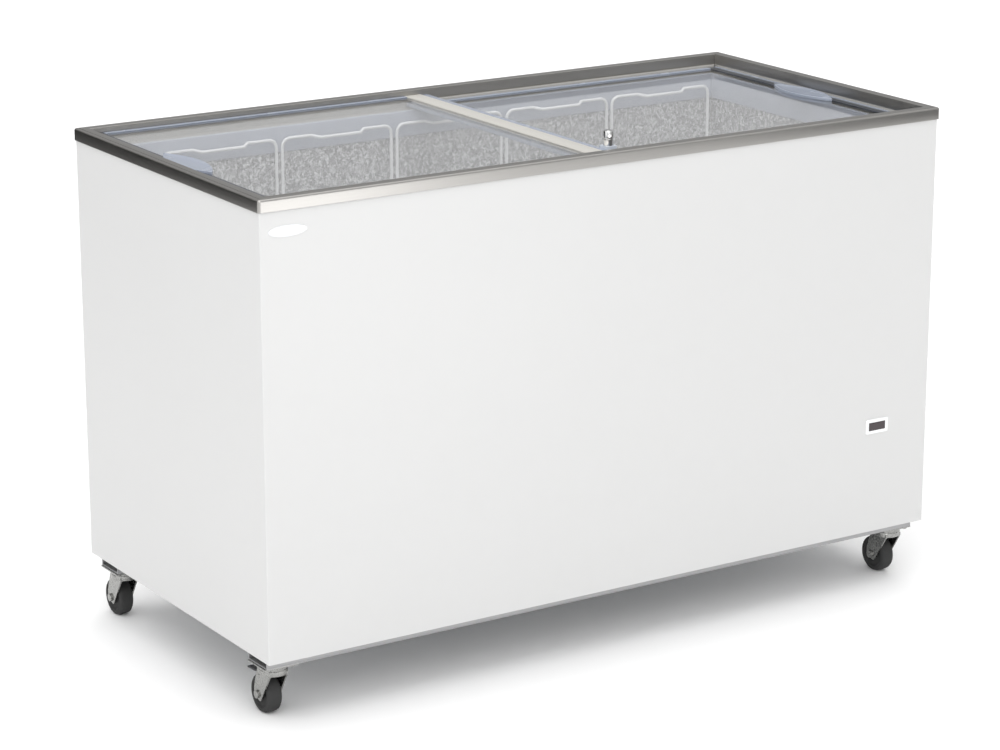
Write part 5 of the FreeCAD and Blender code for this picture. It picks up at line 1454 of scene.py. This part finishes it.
@dataclass
class PanelFittings:
    """Thermometer, blank badge, cord gland and vent cover."""

    def build(self) -> None:
        """Build and dress the fittings."""
        self.thermometer()
        self.badge()
        dress_node("cord_gland", BLACK_PLASTIC, 0.4 * MM)
        dress_node("vent_cover", WHITE_STEEL, 0.3 * MM)
        dress_node("vent_screws", BRIGHT_ZINC, 0.3 * MM)

    @staticmethod
    def thermometer() -> None:
        """Mould the bezel with its sunk window.

        The bezel's section rises from the panel, rounds over and falls to the window.
        """
        low, high = span("thermometer_body")
        pane_low, pane_high = span("thermometer_window")
        centre = ((low[0] + high[0]) / 2, 0.0, (low[2] + high[2]) / 2)
        wide, tall = high[0] - low[0], high[2] - low[2]
        glazed = pane_high[0] - pane_low[0]
        border = (wide - glazed) / 2
        face = low[1]
        panel = span("outer_shell")[0][1]
        levels = [(0.0, panel), (0.0, face + 0.9 * MM), (0.25 * MM, face + 0.3 * MM), (0.9 * MM, face),
                  (border - 1.0 * MM, face), (border - 0.5 * MM, face + 0.2 * MM), (border, face + 0.9 * MM),
                  (border, face + 1.5 * MM)]
        shape = loft(rounded_rectangle(wide, tall, 2.2 * MM), levels, centre, (0, 2, 1))
        case = loft(rounded_rectangle(glazed + 3 * MM, pane_high[2] - pane_low[2] + 3 * MM, 1.0 * MM),
                    [(0.0, panel + 0.05 * MM), (0.0, high[1])], centre, (0, 2, 1))
        make_piece("thermometer_bezel", [shape, case], WHITE_PLASTIC, "cabinet", ["thermometer_body"])
        window = loft(rounded_rectangle(glazed, pane_high[2] - pane_low[2], 0.8 * MM),
                      [(0.1 * MM, face + 1.4 * MM), (0.1 * MM, face + 0.75 * MM),
                       (0.5 * MM, face + 0.55 * MM),
                       (3.0 * MM, face + 0.5 * MM)], centre, (0, 2, 1))
        make_piece("thermometer_pane", [window], SMOKED_WINDOW, "cabinet", ["thermometer_window"])

    @staticmethod
    def badge() -> None:
        """Press the blank oval plate: a raised border round a shallow field."""
        low, high = span("badge_plate")
        centre = ((low[0] + high[0]) / 2, 0.0, (low[2] + high[2]) / 2)
        face = low[1]
        levels = [(0.0, high[1]), (0.0, face + 0.5 * MM), (0.4 * MM, face + 0.08 * MM), (0.9 * MM, face),
                  (1.4 * MM, face + 0.08 * MM), (1.9 * MM, face + 0.35 * MM), (4.0 * MM, face + 0.3 * MM),
                  (7.0 * MM, face + 0.22 * MM)]
        plate = loft(ellipse(high[0] - low[0], high[2] - low[2]), levels, centre, (0, 2, 1))
        make_piece("badge_oval", [plate], BADGE_SILVER, "cabinet", ["badge_plate"])


@dataclass
class Machine:
    """The compressor and its parts behind the vent cover."""

    def build(self) -> None:
        """Dress the compressor compartment and the caster fixings."""
        dress_node("compressor_shell", BLACK_STEEL)
        dress_node("compressor_tray", GALVANISED)
        dress_node("compressor_grommets", BLACK_RUBBER, 0.6 * MM)
        dress_node("terminal_box", BLACK_PLASTIC, 1.0 * MM)
        dress_node("refrigerant_pipes", COPPER)
        dress_node("caster_plates", BRIGHT_ZINC, 0.4 * MM)
        dress_node("caster_bolts", BRIGHT_ZINC, 0.5 * MM)


# ---------------------------------------------------------------- studio

@dataclass
class Studio:
    """Floor, soft lamps, world and camera.

    Attributes:
        azimuth: The camera's turn round the freezer, in degrees.
        elevation: Its angle above the horizon, in degrees.
        distance: How far it stands from the point that it looks at.
        target: The point that it looks at.
        lens: The lens, in millimetres, on a 36 mm sensor.
    """

    azimuth: float = -32.66
    elevation: float = 16.07
    distance: float = 5.297
    target: Colour = (-0.027, 0.0, 0.398)
    lens: float = 113.0

    def build(self) -> None:
        """Set up the studio."""
        self.floor()
        self.world()
        self.sun("front_sun", (-0.35, -0.8, 0.75), 0.8)
        self.sun("left_sun", (-0.9, -0.1, 0.5), 0.52)
        self.sun("back_sun", (0.5, 0.8, 0.7), 0.55, glossy=False)
        self.sun("top_sun", (0.0, 0.0, 1.0), 1.25)
        self.lamp("key", (-2.4, -3.6, 3.2), (2.6, 1.6), 26.0)
        self.card("left_flag", (-1.9, 1.7, 0.6), (3.0, 2.0), 0.0)
        self.card("right_flag", (2.7, -2.2, 0.5), (1.6, 1.4), 0.0)
        self.card("front_card", (-0.2, -1.2, 0.5), (0.6, 0.8), 3.0)
        self.camera()
        bpy.context.scene.view_settings.view_transform = "Standard"

    @staticmethod
    def floor() -> None:
        """Lay a wide pale floor under the wheels."""
        reach = 60.0
        corners = np.array([[[-reach, -reach, 0.0], [reach, -reach, 0.0]],
                            [[-reach, reach, 0.0], [reach, reach, 0.0]]])
        surface = grid_surface(corners)
        mesh = bpy.data.meshes.new("studio_floor")
        mesh.from_pydata(surface.points.tolist(), [], surface.faces)
        floor = place_object("studio_floor", mesh)
        pale, wiring = new_material("studio_pale")
        place = wiring.add("ShaderNodeTexCoord").outputs["Object"]
        tone = wiring.remap(wiring.noise(place, 0.8, 2.0), 0.3, 0.7, 0.93, 0.95)
        colour = wiring.add("ShaderNodeCombineColor", {0: tone, 1: tone, 2: tone}).outputs[0]
        shader = wiring.add("ShaderNodeBsdfPrincipled", {"Base Color": colour, "Roughness": 0.9})
        wiring.add("ShaderNodeOutputMaterial", {"Surface": shader.outputs[0]})
        mesh.materials.append(pale)
        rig.stage(floor)

    @staticmethod
    def world() -> None:
        """Light the room with a pale sky that is bright in front and above, and dim behind.

        The sky's strength grows with the direction's share of front and up.
        """
        world = bpy.data.worlds.new("studio_world")
        bpy.context.scene.world = world
        world.use_nodes = True
        wiring = Wiring(world.node_tree)
        direction = wiring.add("ShaderNodeTexCoord").outputs["Generated"]
        facing = wiring.add("ShaderNodeVectorMath", {0: direction, 1: (-0.15, -0.65, 0.74)},
                            operation="DOT_PRODUCT").outputs["Value"]
        strength = wiring.remap(facing, -0.35, 0.6, 0.4, 0.62)
        seen = wiring.add("ShaderNodeLightPath").outputs["Is Camera Ray"]
        plain = wiring.maths("MAXIMUM", wiring.maths("MULTIPLY", seen, 0.95), strength)
        sky = wiring.add("ShaderNodeBackground", {"Color": (1.0, 1.0, 1.0, 1.0), "Strength": plain})
        wiring.add("ShaderNodeOutputWorld", {"Surface": sky.outputs[0]})

    @staticmethod
    def card(name: str, place: Sequence[float], size: tuple[float, float], glow: float) -> None:
        """Stand a card that only the reflections see, facing the freezer.

        Args:
            name: Its name.
            place: Its middle.
            size: Its width and height.
            glow: Its brightness. Zero makes it black.
        """
        wide, tall = size
        across = unit(np.array([-place[1], place[0], 0.0])) * wide / 2
        up = np.array([0.0, 0.0, tall / 2])
        middle = np.array(place)
        corners = [middle - across - up, middle + across - up, middle + across + up, middle - across + up]
        mesh = bpy.data.meshes.new(name)
        mesh.from_pydata([tuple(corner) for corner in corners], [], [(0, 1, 2, 3)])
        card = place_object(name, mesh)
        paint, wiring = new_material(f"{name}_paint")
        shader = wiring.add("ShaderNodeEmission", {"Color": (1.0, 1.0, 1.0, 1.0), "Strength": glow})
        wiring.add("ShaderNodeOutputMaterial", {"Surface": shader.outputs[0]})
        mesh.materials.append(paint)
        card.visible_camera = card.visible_diffuse = card.visible_shadow = card.visible_transmission = False
        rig.stage(card)

    @staticmethod
    def sun(name: str, towards: Sequence[float], strength: float, glossy: bool = True) -> None:
        """Hang one very wide, soft sun in the given direction.

        Args:
            name: Its name.
            towards: The direction that it stands in.
            strength: Its strength.
            glossy: Whether glass and metal reflect it.
        """
        light = bpy.data.lights.new(name, "SUN")
        light.angle = math.radians(70)
        light.energy = strength
        lamp = place_object(name, light)
        aim(lamp, -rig.Vector(towards))
        lamp.visible_glossy = glossy

    @staticmethod
    def lamp(name: str, place: Sequence[float], size: tuple[float, float], power: float) -> None:
        """Hang one soft rectangular lamp that faces the freezer.

        Args:
            name: Its name.
            place: Where it hangs.
            size: Its width and height.
            power: Its power, in watts.
        """
        light = bpy.data.lights.new(name, "AREA")
        light.shape = "RECTANGLE"
        light.size, light.size_y = size
        light.energy = power
        lamp = place_object(name, light)
        lamp.location = place
        middle = np.array([0.0, 0.0, 0.5])
        aim(lamp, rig.Vector(middle - np.array(place)))

    def camera(self) -> None:
        """Stand the camera at its angle, looking at the target."""
        turn, rise = math.radians(self.azimuth), math.radians(self.elevation)
        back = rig.Vector((math.sin(turn) * math.cos(rise), -math.cos(turn) * math.cos(rise), math.sin(rise)))
        data = bpy.data.cameras.new("camera")
        data.lens = self.lens
        data.sensor_width = 36.0
        data.clip_end = 200.0
        camera = place_object("camera", data)
        camera.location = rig.Vector(self.target) + back * self.distance
        aim(camera, -back)
        bpy.context.scene.camera = camera


def aim(thing: bpy.types.Object, towards: "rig.Vector") -> None:
    """Turn a lamp or a camera to look in a direction."""
    thing.rotation_mode = "QUATERNION"
    thing.rotation_quaternion = towards.to_track_quat("-Z", "Y")


def write_sizes() -> None:
    """Write the CAD box and the visual model's box for comparison."""
    sizes = {"cad": [list(corner) for corner in cad_box], "visual": [list(corner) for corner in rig.bounds()]}
    with open("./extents.json", "w", encoding="utf-8") as file:
        json.dump(sizes, file)


def main() -> None:
    """Build every sub-assembly in order."""
    logging.basicConfig(level=logging.INFO, format="%(name)s: %(message)s")
    Studio().build()
    Cabinet().build()
    Rim().build()
    for which in LidSide:
        SlidingLid(which).build()
    MeetingStiles().build()
    LidLock().build()
    for number in range(1, 6):
        WireBasket(number).build()
    for number in range(1, 5):
        Caster(number, braked=number <= 2).build()
    PanelFittings().build()
    Machine().build()
    write_sizes()


if __name__ == "__main__":
    main()
